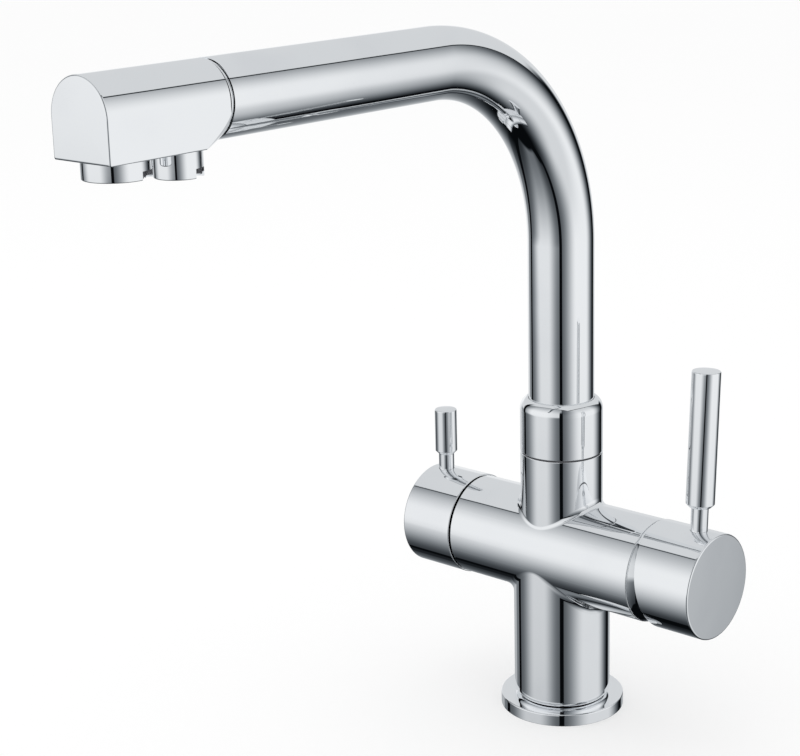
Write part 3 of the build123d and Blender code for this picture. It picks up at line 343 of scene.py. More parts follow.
inner_finishes = {
    "chrome": chrome,
    "brass": finish(
        "turned_brass",
        {"Metallic": 1.0},
        spots=(0.006, 5.0),
        tones=((0.74, 0.57, 0.27), (0.60, 0.43, 0.19)),
        roughness=(0.24, 0.16),
        relief=(0.0004, 1.0, (1, 40, 40)),
        depth=0.00002,
    ),
    "steel": finish(
        "drawn_steel",
        {"Metallic": 1.0},
        spots=(0.0005, 3.0, (1, 1, 30)),
        tones=((0.66, 0.66, 0.67), (0.56, 0.56, 0.58)),
        roughness=(0.22, 0.14),
        depth=0.00001,
    ),
    "seal": finish(
        "seal_rubber",
        {"Specular IOR Level": 0.35},
        spots=(0.0012, 6.0),
        tones=((0.025, 0.025, 0.027), (0.055, 0.055, 0.058)),
        roughness=(0.62, 0.2),
        depth=0.00004,
    ),
    "ceramic": finish(
        "lapped_ceramic",
        {"Coat Weight": 0.3},
        spots=(0.0007, 8.0),
        limits=(0.5, 0.72),
        tones=((0.82, 0.80, 0.76), (0.66, 0.63, 0.58)),
        roughness=(0.16, 0.1),
        depth=0.000005,
    ),
    "acetal": moulded("white_acetal", (0.86, 0.86, 0.84), (0.78, 0.78, 0.76)),
    "water_hose": moulded("water_tube", (0.78, 0.81, 0.83), (0.70, 0.73, 0.76)),
}
for part in frame["record"]["subparts"]:
    node = frame["nodes"][part["node"]]
    while len(node.material_slots) < 1:
        node.data.materials.append(None)
    for holder in node.material_slots:
        holder.material = inner_finishes[part["material_slot"]]
# The near-black colour of this plastic is painted shade: it darkens the bush and the straighteners so
# their gaps read as dark lines.
painted_shade_plastic = moulded("painted_shade_plastic", (0.10, 0.10, 0.11), (0.07, 0.07, 0.08))
frame["nodes"]["spout_slip_bush"].material_slots[0].material = painted_shade_plastic

# %% [markdown]
# Most of the tap is turned, so most pieces are an outline spun round an axis. The outline is drawn in
# millimetres as on a turner's drawing, along the axis and out from it, and every corner gets its small
# round, because a real edge is never perfectly sharp and its thin highlight is what the eye looks for.


# %% Drawing an outline
def arc(middle, radius, start, end, steps=24):
    """Places on an arc of an outline, from one angle to another in degrees, that need no rounding."""
    turns = [math.radians(start + (end - start) * step / steps) for step in range(steps + 1)]
    return [(middle[0] + radius * math.cos(a), middle[1] + radius * math.sin(a), 0) for a in turns]


def stairs(*stops):
    """Corners of an outline that runs along and across, from stations and radii in turn."""
    corners = list(zip(stops, stops[1:]))
    corners[1::2] = [(station, radius) for radius, station in corners[1::2]]
    return corners


def rounded(corners, edge=0.15, steps=5):
    """The outline with its corners rounded. A corner is (along, out), or has its own rounding third."""
    places = []
    for index, corner in enumerate(corners):
        here = Vector(corner[:2])
        back = Vector(corners[index - 1][:2]) - here
        on = Vector(corners[(index + 1) % len(corners)][:2]) - here
        radius = corner[2] if len(corner) > 2 else edge
        if radius == 0 or corner[1] == 0:
            places.append(here)
            continue
        inner = back.angle(on)
        back.normalize()
        on.normalize()
        middle = here + (back + on).normalized() * radius / math.sin(inner / 2)
        first = here + back * radius / math.tan(inner / 2) - middle
        last = here + on * radius / math.tan(inner / 2) - middle
        sweep = math.pi - inner
        for step in range(steps + 1):
            share = step / steps
            mix = first * math.sin((1 - share) * sweep) + last * math.sin(share * sweep)
            places.append(middle + mix / math.sin(sweep))
    return places


# %% [markdown]
# Every shape below is a net: rows of places with faces between them. Places that meet are merged, the
# faces are turned outwards, and only then is the piece finished: edges that turn sharply stay crisp,
# and the other normals are weighted by face area, so a long flat face isn't bent by its small rounds.
# Places are the same one when they are nearer than meeting, and after a cut nearer than nearly_meeting.


# %% From rows of places to a finished piece
def bake(piece):
    """Replaces a piece's mesh by what its modifiers make of it."""
    graph = bpy.context.evaluated_depsgraph_get()
    shown = piece.evaluated_get(graph)
    mesh = bpy.data.meshes.new_from_object(shown, preserve_all_data_layers=True, depsgraph=graph)
    piece.modifiers.clear()
    piece.data = mesh
    return piece


meeting = 0.0002


def net(name, nets, ring=False):
    """A piece from nets that share their edges, each made of rows of places in millimetres.

    A row closes on itself, and ring joins the last row to the first. Places that meet are merged.
    """
    shape = bmesh.new()
    for rows in nets:
        made = [[shape.verts.new(place) for place in row] for row in rows]
        if ring:
            made.append(made[0])
        for upper, lower in zip(made, made[1:]):
            for i in range(len(upper)):
                shape.faces.new((upper[i - 1], upper[i], lower[i], lower[i - 1]))
    bmesh.ops.remove_doubles(shape, verts=shape.verts, dist=meeting)
    bmesh.ops.dissolve_degenerate(shape, edges=shape.edges, dist=meeting / 2)
    bmesh.ops.recalc_face_normals(shape, faces=shape.faces)
    piece = bpy.data.objects.new(name, bpy.data.meshes.new(name))
    shape.to_mesh(piece.data)
    shape.free()
    bpy.context.scene.collection.objects.link(piece)
    return piece


def turned(name, outline, axis, spins=192, ring=False):
    """Spins an outline, a list or a function that gives one for each angle, about an axis."""
    columns = []
    for spin in range(spins):
        angle = 2 * math.pi * spin / spins
        drawn = outline(angle) if callable(outline) else outline
        across, rise = math.cos(angle), math.sin(angle)
        columns.append([axis @ Vector((place[1] * across, place[1] * rise, place[0])) for place in drawn])
    return net(name, [list(zip(*columns))], ring)


def bar(axis, low, high, radius, spins=64):
    """A round bar between two stations of an axis, as a tool or a part."""
    return turned("bar", [(low, 0), *stairs(low, radius, high, 0)], axis, spins)


# %% Finishing a piece and giving it its place in the model
def polished(piece, crisp=35):
    """Brings a piece from millimetres to metres and smooths its shading, except over crisp edges."""
    shape = bmesh.new()
    shape.from_mesh(piece.data)
    bmesh.ops.scale(shape, verts=shape.verts, vec=(0.001, 0.001, 0.001))
    for face in shape.faces:
        face.smooth = True
    for edge in shape.edges:
        edge.smooth = edge.calc_face_angle(0) < math.radians(crisp)
    shape.to_mesh(piece.data)
    shape.free()
    weigh = piece.modifiers.new("weigh", "WEIGHTED_NORMAL")
    weigh.keep_sharp = True
    return bake(piece)


def settle(piece, body, node, finish_name="chrome", material=None):
    """Gives a finished piece its finish, the body it moves with and the measured node it stands for."""
    piece.data.materials.clear()
    piece.data.materials.append(material or inner_finishes[finish_name])
    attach(piece, body)
    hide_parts(node)
    print(piece.name, "stands for", node, "with", len(piece.data.polygons), "faces")


nearly_meeting = 0.001


def cut(piece, tool, operation="DIFFERENCE"):
    """Cuts a tool's shape out of a piece, or joins it on, and merges what then nearly meets."""
    knife = piece.modifiers.new("knife", "BOOLEAN")
    knife.operation = operation
    knife.solver = "EXACT"
    knife.object = tool
    bake(piece)
    bpy.data.objects.remove(tool)
    shape = bmesh.new()
    shape.from_mesh(piece.data)
    bmesh.ops.remove_doubles(shape, verts=shape.verts, dist=nearly_meeting)
    bmesh.ops.holes_fill(shape, edges=[edge for edge in shape.edges if edge.is_boundary], sides=4)
    bmesh.ops.dissolve_degenerate(shape, edges=shape.edges, dist=nearly_meeting / 2)
    shape.to_mesh(piece.data)
    shape.free()
    return piece


# %% The axes of the tap
barrel_height = 73.7
arm_height = 291.0
upright = Matrix.Identity(4)
barrel_axis = Matrix(((0, 0, 1, 0), (1, 0, 0, 0), (0, 1, 0, barrel_height), (0, 0, 0, 1)))
arm_axis = Matrix(((1, 0, 0, 0), (0, 0, -1, 0), (0, 1, 0, arm_height), (0, 0, 0, 1)))
lean = Matrix.Translation((0, 0, barrel_height)) @ Matrix.Rotation(math.radians(-3), 4, "X")
leaned_axis = lean @ Matrix.Translation((0, 0, -barrel_height)) @ barrel_axis
print("barrel axis at", barrel_height, "mm, arm at", arm_height, "mm")

# %% [markdown]
# The flange is a flat turned ring that hides the edge of the hole in the worktop. A groove underneath
# holds its rubber seal. It is a closed outline, so the last row of the net joins the first.

# %% The flange
flange_radius, flange_height, flange_bore = 27.0, 5.3, 18.1
groove_inside, groove_outside, groove_depth = 20.5, 25.0, 2.2
flange_outline = [(0, flange_radius, 0.2), (flange_height, flange_radius, 0.6)]
flange_outline += stairs(flange_height, flange_bore, 0, groove_inside, groove_depth, groove_outside, 0)
flange = turned("flange_ring", rounded(flange_outline), upright, ring=True)
settle(polished(flange), "stand", "base_flange")

# %% [markdown]
# The body is one casting: a column, a barrel lying across it and a socket on top, with soft inner rounds
# where they meet. A boolean with a bevel could give that, but its ragged triangles show in a mirror.
# The rounds are worked out instead as the path of a ball that rolls along the joint and touches both
# cylinders, so every row of the net lies exactly on the real surface.

# %% A ball rolling round the joint of barrel and stem
barrel_radius = 22.0
column_radius = 21.0
column_round = 4.5
socket_radius = 17.7
socket_round = 2.8
around = 192


def ball_middle(stem_radius, ball_radius, side, angle):
    """The middle of the rolling ball; side is -1 under the barrel and 1 over it."""
    reach = stem_radius + ball_radius
    x, y = reach * math.cos(angle), reach * math.sin(angle)
    return Vector((x, y, barrel_height + side * math.sqrt((barrel_radius + ball_radius) ** 2 - y**2)))


def joint_places(stem_radius, ball_radius, side, angle, steps=10):
    """Places across the inner round, from the stem to the barrel."""
    middle = ball_middle(stem_radius, ball_radius, side, angle)
    to_stem = Vector((-math.cos(angle), -math.sin(angle), 0))
    to_barrel = Vector((0, -middle.y, barrel_height - middle.z)).normalized()
    return [middle + ball_radius * to_stem.slerp(to_barrel, step / steps) for step in range(steps + 1)]


def stem_rows(stem_radius, ball_radius, side, outline):
    """Rows of a stem, from the far end of its outline to the edge of the barrel."""
    turns = [2 * math.pi * spin / around for spin in range(around)]
    rows = [[(p[1] * math.cos(a), p[1] * math.sin(a), p[0]) for a in turns] for p in reversed(outline)]
    joints = [joint_places(stem_radius, ball_radius, side, a) for a in turns]
    return rows + [list(row) for row in zip(*joints)]


# %% The rows of the two stems
column_start, foot_round, foot_bore, foot_bore_top = 40.0, 3.0, 18.0, 19.2
column_outline = [(column_start, column_radius, 0), (flange_height, column_radius, foot_round)]
column_outline += [(flange_height, foot_bore, 0), (foot_bore_top, foot_bore), (foot_bore_top, 0)]

socket_start, socket_top = 104.0, 117.3
bush_seat, bush_seat_floor, socket_bore, socket_floor = 15.2, 112.3, 13.7, 95.5
socket_outline = [(socket_start, socket_radius, 0), (socket_top, socket_radius, 0.3)]
socket_outline += stairs(socket_top, bush_seat, bush_seat_floor, socket_bore, socket_floor, 0)
column_rows = stem_rows(column_radius, column_round, -1, rounded(column_outline))
socket_rows = stem_rows(socket_radius, socket_round, 1, rounded(socket_outline))
print("column rows:", len(column_rows), "socket rows:", len(socket_rows))


# %% The rows of half a barrel
seam_steps = 26


def seam_places(side):
    """Places round the barrel in the middle plane, from the column's joint up to the socket's."""
    low = Vector(column_rows[-1][around // 4])
    high = Vector(socket_rows[-1][around // 4])
    start = math.atan2(low.z - barrel_height, low.y)
    end = math.atan2(high.z - barrel_height, high.y)
    turns = [start + (end - start) * step / seam_steps for step in range(1, seam_steps)]
    places = [(side * barrel_radius * math.cos(turn), barrel_radius * math.sin(turn)) for turn in turns]
    return [(0, out, barrel_height + rise) for out, rise in places]


def half_barrel(towards, outline):
    """Rows of the barrel from the joints to one end, 1 for right or -1 for left, and into its bore."""
    quarter = around // 4
    sweep = range(-quarter, quarter + 1)
    turns = [spin if towards > 0 else around // 2 - spin for spin in sweep]
    lower = [column_rows[-1][spin % around] for spin in turns]
    upper = [socket_rows[-1][spin % around] for spin in reversed(turns)]
    edge = [Vector(place) for place in lower + seam_places(1) + upper + seam_places(-1)[::-1]]
    rows = [edge]
    first = outline[0][0]
    for share in (0.35, 0.7):
        rows.append([Vector((p.x + (first - p.x) * share, p.y, p.z)) for p in edge])
    for station, radius in outline:
        scale = radius / barrel_radius
        rows.append([(station, p.y * scale, barrel_height + (p.z - barrel_height) * scale) for p in edge])
    return rows


right_start, right_end = 40.0, 49.4
nut_bore, nut_floor, cartridge_bore, cartridge_floor = 19.3, 44.5, 17.6, 21.5
right_outline = [(right_start, barrel_radius, 0), (right_end, barrel_radius, 0.4)]
right_outline += stairs(right_end, nut_bore, nut_floor, cartridge_bore, cartridge_floor, 0)

left_start, left_end = -36.0, -45.4
recess_radius, headwork_bore, headwork_floor = 15.0, 10.5, -19.0
left_outline = [(left_start, barrel_radius, 0), (left_end, barrel_radius, 0.4)]
left_outline += stairs(left_end, recess_radius, left_start, headwork_bore, headwork_floor, 0)

# %% The casting
halves = [half_barrel(1, rounded(right_outline)[1:]), half_barrel(-1, rounded(left_outline)[1:])]
casting = net("cast_body", [column_rows, socket_rows, *halves])
screw_height, screw_hole = 109.3, 2.55
screw_axis = Matrix.Translation((0, 0, screw_height)) @ Matrix.Rotation(math.radians(-90), 4, "X")
settle(polished(cut(casting, bar(screw_axis, 12, 19, screw_hole))), "stand", "body")

# %% [markdown]
# The domed band screws over the cartridge nut. Its outside is part of a ball round the point that the
# lever tips about, so the hollow drum of the handle can swing over it with the same narrow gap.

# %% The domed band
tip_point = 39.6
dome_foot, dome_end, dome_groove = 49.9, 58.2, 21.2
dome_thread, dome_thread_end, dome_opening = 17.1, 54.4, 14.4
dome_radius = math.hypot(right_end - tip_point, barrel_radius)
ends = [math.degrees(math.acos((end - tip_point) / dome_radius)) for end in (dome_end, dome_foot)]
dome_outline = arc((tip_point, 0), dome_radius, *ends)
dome_outline += [(dome_foot, dome_groove, 0), (right_end, dome_groove)]
dome_outline += stairs(right_end, dome_thread, dome_thread_end, dome_opening, dome_end)
domed_band = turned("domed_band", rounded(dome_outline), barrel_axis, ring=True)
settle(polished(domed_band), "stand", "mixer_dome_ring")

# %% [markdown]
# The mixing handle is a hollow drum with a rod. The drum's back edge is cut on a slope, higher on the
# side where it swings over the dome. Spinning still works: only the outline changes with the angle, and
# every outline has as many places, so the rows still fit together.

# %% The mixing drum
drum_radius, drum_end, drum_back = 22.4, 79.7, 54.1
cavity_radius = dome_radius + 0.45
slope = 0.171
drum_bore, drum_floor, boss_radius = 19.4, 76.1, 8.0
stem_hole, stem_hole_floor = 5.1, 71.6


def on_cavity(radius):
    """The station where the hollow ball of the drum has a radius."""
    return tip_point + math.sqrt(cavity_radius**2 - radius**2)


def drum_outline(angle):
    """The drum's outline at an angle round its axis, with the sloping back and the hollow ball."""
    fall = slope * math.sin(angle)
    depth = drum_back - tip_point
    spread = math.sqrt((depth * fall) ** 2 + (1 + fall**2) * (cavity_radius**2 - depth**2))
    inner = max((depth * fall + spread) / (1 + fall**2), drum_bore)
    lip = drum_back - fall * inner
    throat = max(lip, on_cavity(drum_bore))
    stations = [lip + (throat - lip) * step / 6 for step in range(7)]
    ball = [(s, max(math.sqrt(cavity_radius**2 - (s - tip_point) ** 2), drum_bore)) for s in stations]
    back = drum_back - fall * drum_radius
    outside = [(drum_end, 0), (drum_end, drum_radius, 0.8), (back, drum_radius, 0.12), (lip, inner, 0)]
    boss = [(on_cavity(radius), radius) for radius in (boss_radius, 7, 6, stem_hole)]
    inside = [(drum_floor, drum_bore), (drum_floor, boss_radius), *boss]
    return rounded(outside)[:-1] + ball + inside + [(stem_hole_floor, stem_hole), (stem_hole_floor, 0)]


# %% Its posts, the seat of its lever and the hole of its screw
post_foot, post_top, post_radius = 6.0, 20.9, 5.0
screw_hole_top, spigot_hole_top, spigot_hole = -3.4, 22.5, 3.05
beyond_drum = 24.0


def fitted(drum, stand, screw_stand, seat, seat_radius, hole_foot):
    """A finished drum with two posts inside, its lever's seat and hole, and the hole of its screw."""
    cut(drum, bar(stand, post_foot, post_top, post_radius), "UNION")
    cut(drum, bar(screw_stand, -post_top, -post_foot, post_radius), "UNION")
    cut(drum, bar(screw_stand, -beyond_drum, screw_hole_top, screw_hole))
    cut(drum, bar(stand, seat, beyond_drum, seat_radius))
    return polished(cut(drum, bar(stand, hole_foot, spigot_hole_top, spigot_hole)))


mixing_stand = lean @ Matrix.Translation((69.6, 0, 0))
mixing_seat = 21.76
drum = turned("mixing_drum", drum_outline, leaned_axis)
drum = fitted(drum, mixing_stand, mixing_stand, mixing_seat, seat_radius=3.7, hole_foot=11.7)
settle(drum, "mixer_handle", "mixer_knob")

# %% [markdown]
# Both levers are one turned rod each: a thin neck that stands in a spot-faced seat on the drum, and a
# thicker grip with a bevelled foot and a flat top.


# %% The levers
spigot_length, spigot_radius, grip_bevel = 9, 3, 1.5


def lever_rod(name, axis, seat, neck_radius, grip_foot, grip_radius, top):
    """A lever on its seat: the spigot in the drum, the neck and the grip with its bevelled foot."""
    foot = seat - spigot_length
    outline = [(foot, 0), *stairs(foot, spigot_radius, seat, neck_radius), (grip_foot, neck_radius, 0.2)]
    if grip_radius - grip_bevel > neck_radius:
        outline.append((grip_foot, grip_radius - grip_bevel, 0.3))
    outline += [(grip_foot + grip_bevel, grip_radius, 0.4), (top, grip_radius, 0.6), (top, 0)]
    return polished(turned(name, rounded(outline), axis))


filter_stand = Matrix.Translation((-65.3, 0, barrel_height))
filter_seat = 21.88
long_lever = {"neck_radius": 3.6, "grip_foot": 32.4, "grip_radius": 6.0, "top": 89.7}
short_lever = {"neck_radius": 3.5, "grip_foot": 29.5, "grip_radius": 5.0, "top": 50.35}
mixing_rod = lever_rod("mixing_lever_rod", mixing_stand, mixing_seat, **long_lever)
filter_rod = lever_rod("filter_lever_rod", filter_stand, filter_seat, **short_lever)
settle(mixing_rod, "mixer_handle", "mixer_lever")
settle(filter_rod, "filter_handle", "filter_lever")

# %% The filter drum
filter_radius, filter_bore = 22.5, 19.5
filter_end, filter_back, filter_floor = -72.6, -46.2, -69.2
spindle_hole, spindle_hole_floor, boss_end = 4.05, -66.1, -54.3
filter_outline = [(filter_end, 0), (filter_end, filter_radius, 0.8), (filter_back, filter_radius, 0.4)]
filter_outline += stairs(filter_back, filter_bore, filter_floor, boss_radius, boss_end, spindle_hole)
filter_outline += [(spindle_hole_floor, spindle_hole), (spindle_hole_floor, 0)]
screw_stand = Matrix.Translation((-60.5, 0, barrel_height))
drum = turned("filter_drum", rounded(filter_outline), barrel_axis)
drum = fitted(drum, filter_stand, screw_stand, filter_seat, seat_radius=3.6, hole_foot=11.8)
settle(drum, "filter_handle", "filter_knob")

# %% [markdown]
# The sleeve over the foot of the spout has a slow round shoulder, an arc that isn't quite a quarter
# turn, and ends in a thin flat rim round the tube.

# %% The sleeve
sleeve_foot, sleeve_top, tube_foot = 117.9, 141.5, 120.9
bush_space, tube_space = 15.1, 14.1
shoulder_radius, shoulder_height = 5.5, 4.9
shoulder_middle = (sleeve_top - shoulder_height, socket_radius - shoulder_radius)
shoulder_turn = math.degrees(math.asin(shoulder_height / shoulder_radius))
sleeve_outline = arc(shoulder_middle, shoulder_radius, 90 - shoulder_turn, 90)
sleeve_outline += [(sleeve_foot, socket_radius, 0.3)]
sleeve_outline += stairs(sleeve_foot, bush_space, tube_foot, tube_space)
sleeve_outline += [(sleeve_top, tube_space, 0.4)]
sleeve = turned("spout_sleeve", rounded(sleeve_outline), upright, ring=True)
settle(polished(sleeve), "spout", "spout_collar")

# %% [markdown]
# The spout is bent from one length of tube: straight up, one bend, straight out. Its shape is a rule, a
# circle carried along a path with one rounded corner, so Geometry Nodes make it, with the sizes as named
# inputs. The wall comes afterwards from a Solidify modifier that thickens it inwards.


# %% Rules as node groups
def rule(name, inputs):
    """A node group for a modifier, with named number, vector or material inputs, and its tree."""
    group = bpy.data.node_groups.new(name, "GeometryNodeTree")
    group.interface.new_socket("Geometry", in_out="OUTPUT", socket_type="NodeSocketGeometry")
    for label, kind in inputs.items():
        group.interface.new_socket(label, in_out="INPUT", socket_type=kind)
    return group, Tree(group)


def grown(name, group, sizes):
    """A plain mesh piece from a rule and its sizes, each set by its socket's identifier."""
    piece = bpy.data.objects.new(name, bpy.data.meshes.new(name))
    bpy.context.scene.collection.objects.link(piece)
    modifier = piece.modifiers.new("rule", "NODES")
    modifier.node_group = group
    for item in group.interface.items_tree:
        if item.in_out == "INPUT":
            modifier[item.identifier] = sizes[item.name]
    return bake(piece)


def ended(tree, geometry, material):
    """Ends a rule in Realize Instances and Set Material."""
    real = tree.add("GeometryNodeRealizeInstances", {}, {"Geometry": geometry})["Geometry"]
    coated = tree.add("GeometryNodeSetMaterial", {}, {"Geometry": real, "Material": material})["Geometry"]
    tree.add("NodeGroupOutput", {}, {"Geometry": coated})


# %% The bent spout
number = "NodeSocketFloat"
tube_sizes = {"Foot height": tube_foot, "Arm height": arm_height, "Reach": 195.4}
tube_sizes = {**tube_sizes, "Bend radius": 82.0, "Tube radius": 14.0}
sockets = {**dict.fromkeys(tube_sizes, number), "Material": "NodeSocketMaterial"}
tube_rule, tree = rule("bent_tube_rule", sockets)
size = tree.add("NodeGroupInput")
line = tree.add("GeometryNodeCurvePrimitiveLine")["Curve"]
line = tree.add("GeometryNodeResampleCurve", {}, {"Curve": line, "Count": 3})["Curve"]
index = tree.add("GeometryNodeInputIndex")["Index"]
raised = tree.math("GREATER_THAN", index, 0.5)
reached = tree.math("GREATER_THAN", index, 1.5)
path_height = size["Foot height"] + (size["Arm height"] - size["Foot height"]) * raised
corner = {"Y": -1 * size["Reach"] * reached, "Z": path_height}
corner = tree.add("ShaderNodeCombineXYZ", {}, corner)["Vector"]
path = tree.add("GeometryNodeSetPosition", {}, {"Geometry": line, "Position": corner})["Geometry"]
bend = {"Curve": path, "Count": 72, "Radius": size["Bend radius"], "Limit Radius": True}
path = tree.add("GeometryNodeFilletCurve", {"mode": "POLY"}, bend)["Curve"]
section = {"Resolution": 160, "Radius": size["Tube radius"]}
section = tree.add("GeometryNodeCurvePrimitiveCircle", {}, section)["Curve"]
swept = tree.add("GeometryNodeCurveToMesh", {}, {"Curve": path, "Profile Curve": section})["Mesh"]
ended(tree, swept, size["Material"])

spout = grown("bent_spout", tube_rule, {**tube_sizes, "Material": chrome})
shell = bmesh.new()
shell.from_mesh(spout.data)
bmesh.ops.remove_doubles(shell, verts=shell.verts, dist=meeting)
bmesh.ops.recalc_face_normals(shell, faces=shell.faces)
shell.to_mesh(spout.data)
shell.free()
wall = spout.modifiers.new("wall", "SOLIDIFY")
wall.thickness = 1.3
wall.offset = -1
settle(polished(bake(spout)), "spout", "spout_tube")

# %% [markdown]
# A narrow band, a little smaller than the tube, joins it to the head. It stands clear of both by a
# narrow groove, and the shadows in the two grooves are the thin lines of the joint.

# %% The joint band
band_start, band_end, rim_start, rim_end = 187.4, 201.8, 196.0, 196.7
tube_side, rim_radius, head_side, way_radius = 12.6, 13.7, 11.5, 9.5
band_outline = stairs(band_start, tube_side, rim_start, rim_radius, rim_end, head_side, band_end)
band_outline = rounded([*band_outline, (band_end, way_radius), (band_start, way_radius)])
settle(polished(turned("joint_band", band_outline, arm_axis, ring=True)), "spout", "head_joint_ring")

# %% [markdown]
# The head is round on top and square below, and its back corners are turned down to a cone to meet the
# round tube. Cone and flats meet in a curve. Each line of the net runs along the cone until it reaches
# the flat and then straight on to the front, so that curve is an edge of the net and stays crisp.

# %% The head
head_half = 14.0
head_drop = 14.1
back_reach = 197.4
front_reach = 250.0
cone_radius = 14.45
cone_rise = math.tan(math.radians(24.4))
front_round = 0.8
long_edge_round = 0.5
base_half = 13.2


def head_section():
    """Places round the head's section, across and up: the round top, the flats, the corners."""
    top = [place[:2] for place in arc((0, 0), head_half, 0, 180, 96)]
    sides = [(-head_half, -head_drop * step / 28) for step in range(1, 27)]
    corner_middle = (-head_half + long_edge_round, -head_drop + long_edge_round)
    corner = [place[:2] for place in arc(corner_middle, long_edge_round, 180, 270, 6)]
    base = [(-base_half + 2 * base_half * step / 48, -head_drop) for step in range(49)]
    mirrored_corner = [(-x, y) for x, y in reversed(corner)]
    mirrored_sides = [(-x, y) for x, y in reversed(sides)]
    return top + sides + corner + base + mirrored_corner + mirrored_sides


def head_line(across, rise):
    """One line of the net from the middle of the back face to the middle of the front face."""
    far = math.hypot(across, rise)
    start = min(far, cone_radius) / far
    reach = back_reach + max(far - cone_radius, 0) / cone_rise
    line = [(0, 0, back_reach), (across * start, rise * start, back_reach), (across, rise, reach)]
    line += [(across, rise, reach + (front_reach - front_round - reach) * share) for share in (0.5, 1)]
    for step in range(1, 7):
        turn = math.radians(15 * step)
        scale = (head_half - front_round * (1 - math.cos(turn))) / head_half
        line.append((across * scale, rise * scale, front_reach - front_round * (1 - math.sin(turn))))
    return line + [(0, 0, front_reach)]


head_columns = [[arm_axis @ Vector(place) for place in head_line(*point)] for point in head_section()]
head = net("head_block", [list(zip(*head_columns))])

# %% The hollows of the head
pocket_start, pocket_radius, pocket_end = 197.0, 11.6, 202.2
chamber_radius, chamber_end = 11.0, 245.0
main_socket_radius, main_socket_depth = 10.6, 9.0
filter_socket_radius, filter_socket_depth = 6.3, 6.6
main_reach, filter_reach = 235.9, 209.5
underside = arm_height - head_drop
main_place = Matrix.Translation((0, -main_reach, underside))
filter_place = Matrix.Translation((0, -filter_reach, underside))
chamber = stairs(pocket_start, pocket_radius, pocket_end, chamber_radius, chamber_end, 0)
cut(head, turned("chamber", [(pocket_start, 0), *chamber], arm_axis, 96))
cut(head, bar(main_place, -1, main_socket_depth, main_socket_radius, 96))
cut(head, bar(filter_place, -1, filter_socket_depth, filter_socket_radius, 96))
settle(polished(head, crisp=24), "spout", "spout_head")

# %% [markdown]
# Under the head hang two outlets, a wide short one for mixed water and a narrow longer one for the
# filtered water. Each sleeve has two notches in its rim for the spanner that screws it in. A notch is no
# cut here: between its walls the net's lower places are lifted to the notch's roof, which keeps it tidy.


# %% The outlet sleeves
notch_turn, notch_steps, land_steps, lip_steps = 22, 12, 52, 128
lip_height, lip_width, lip_step = 0.4, 0.6, 0.02


def notch_column(outline, place, start, share, half_width, roof=None):
    """The outline at a share of the way across a notch, lifted to its roof, or across a land."""
    places = []
    for along, out in outline:
        wall = math.asin(half_width / out)
        angle = start + (wall + (math.pi - 2 * wall) * share if roof is None else (2 * share - 1) * wall)
        level = along if roof is None else max(along, roof)
        places.append(place @ Vector((out * math.cos(angle), out * math.sin(angle), level)))
    return places


def outlet_sleeve(name, place, radius, length, thread_radius, thread, inside, half_width, notch_height):
    """A threaded sleeve with two notches in its rim, and the thin lip inside that holds its cup."""
    roof = notch_height - length
    outline = [(-length, radius, 0.4), (roof, radius, 0), (0, radius)]
    outline += stairs(0, thread_radius, thread, inside)
    outline = rounded([*outline, (roof, inside, 0), (-length, inside)])
    columns = []
    for start in (math.radians(notch_turn), math.radians(notch_turn + 180)):
        for steps, top in ((notch_steps, roof), (land_steps, None)):
            shares = [step / steps for step in range(steps + 1)]
            columns += [notch_column(outline, place, start, share, half_width, top) for share in shares]
    low, high = lip_step - length, lip_height - length
    lip = [(low, inside + lip_step, 0), (high, inside + lip_step, 0), (high, inside - lip_width)]
    lip = rounded([*lip, (low, inside - lip_width)])
    turns = [place @ Matrix.Rotation(2 * math.pi * step / lip_steps, 4, "Z") for step in range(lip_steps)]
    lip_rows = [[turn @ Vector((out, 0, along)) for turn in turns] for along, out in lip]
    rows = list(zip(*columns))
    return polished(net(name, [rows, lip_rows], ring=True))


main_sizes = {"radius": 11.7, "length": 6.5, "thread_radius": 10.5, "thread": 7.0, "inside": 9.4}
filter_sizes = {"radius": 8.5, "length": 10.0, "thread_radius": 6.2, "thread": 4.8, "inside": 5.3}
main_notch = {"half_width": 3.5, "notch_height": 2.9}
filter_notch = {"half_width": 3.0, "notch_height": 3.3}
main_sleeve = outlet_sleeve("main_outlet_sleeve", main_place, **main_sizes, **main_notch)
filter_sleeve = outlet_sleeve("filter_outlet_sleeve", filter_place, **filter_sizes, **filter_notch)
settle(main_sleeve, "spout", "main_aerator_housing")
settle(filter_sleeve, "spout", "filter_nozzle_housing")

# %% [markdown]
# Inside each outlet sits a plastic straightener, a cup with a pierced face that breaks the water into
# fine streams. The holes repeat on a square grid and only those that fit inside the rim are kept, which
# is a rule, so one node group makes both from their sizes.

# %% The pierced straighteners
cup_sizes = {"Face": 1.6, "Wall": 1.2, "Core": 2.0, "Hole radius": 0.9, "Pitch": 2.6}
sockets = dict.fromkeys(("Radius", "Bottom", "Top", *cup_sizes), number)
placed = {"Place": "NodeSocketVector", "Material": "NodeSocketMaterial"}
cup_rule, tree = rule("pierced_cup_rule", {**sockets, **placed})
size = tree.add("NodeGroupInput")


def solid_bar(tree, radius, low, high, sides):
    """An upright bar between two heights."""
    round_bar = {"Vertices": sides, "Radius": radius, "Depth": high - low}
    round_bar = tree.add("GeometryNodeMeshCylinder", {}, round_bar)["Mesh"]
    lift = tree.add("ShaderNodeCombineXYZ", {}, {"Z": 0.5 * (low + high)})["Vector"]
    return tree.add("GeometryNodeTransform", {}, {"Geometry": round_bar, "Translation": lift})["Geometry"]


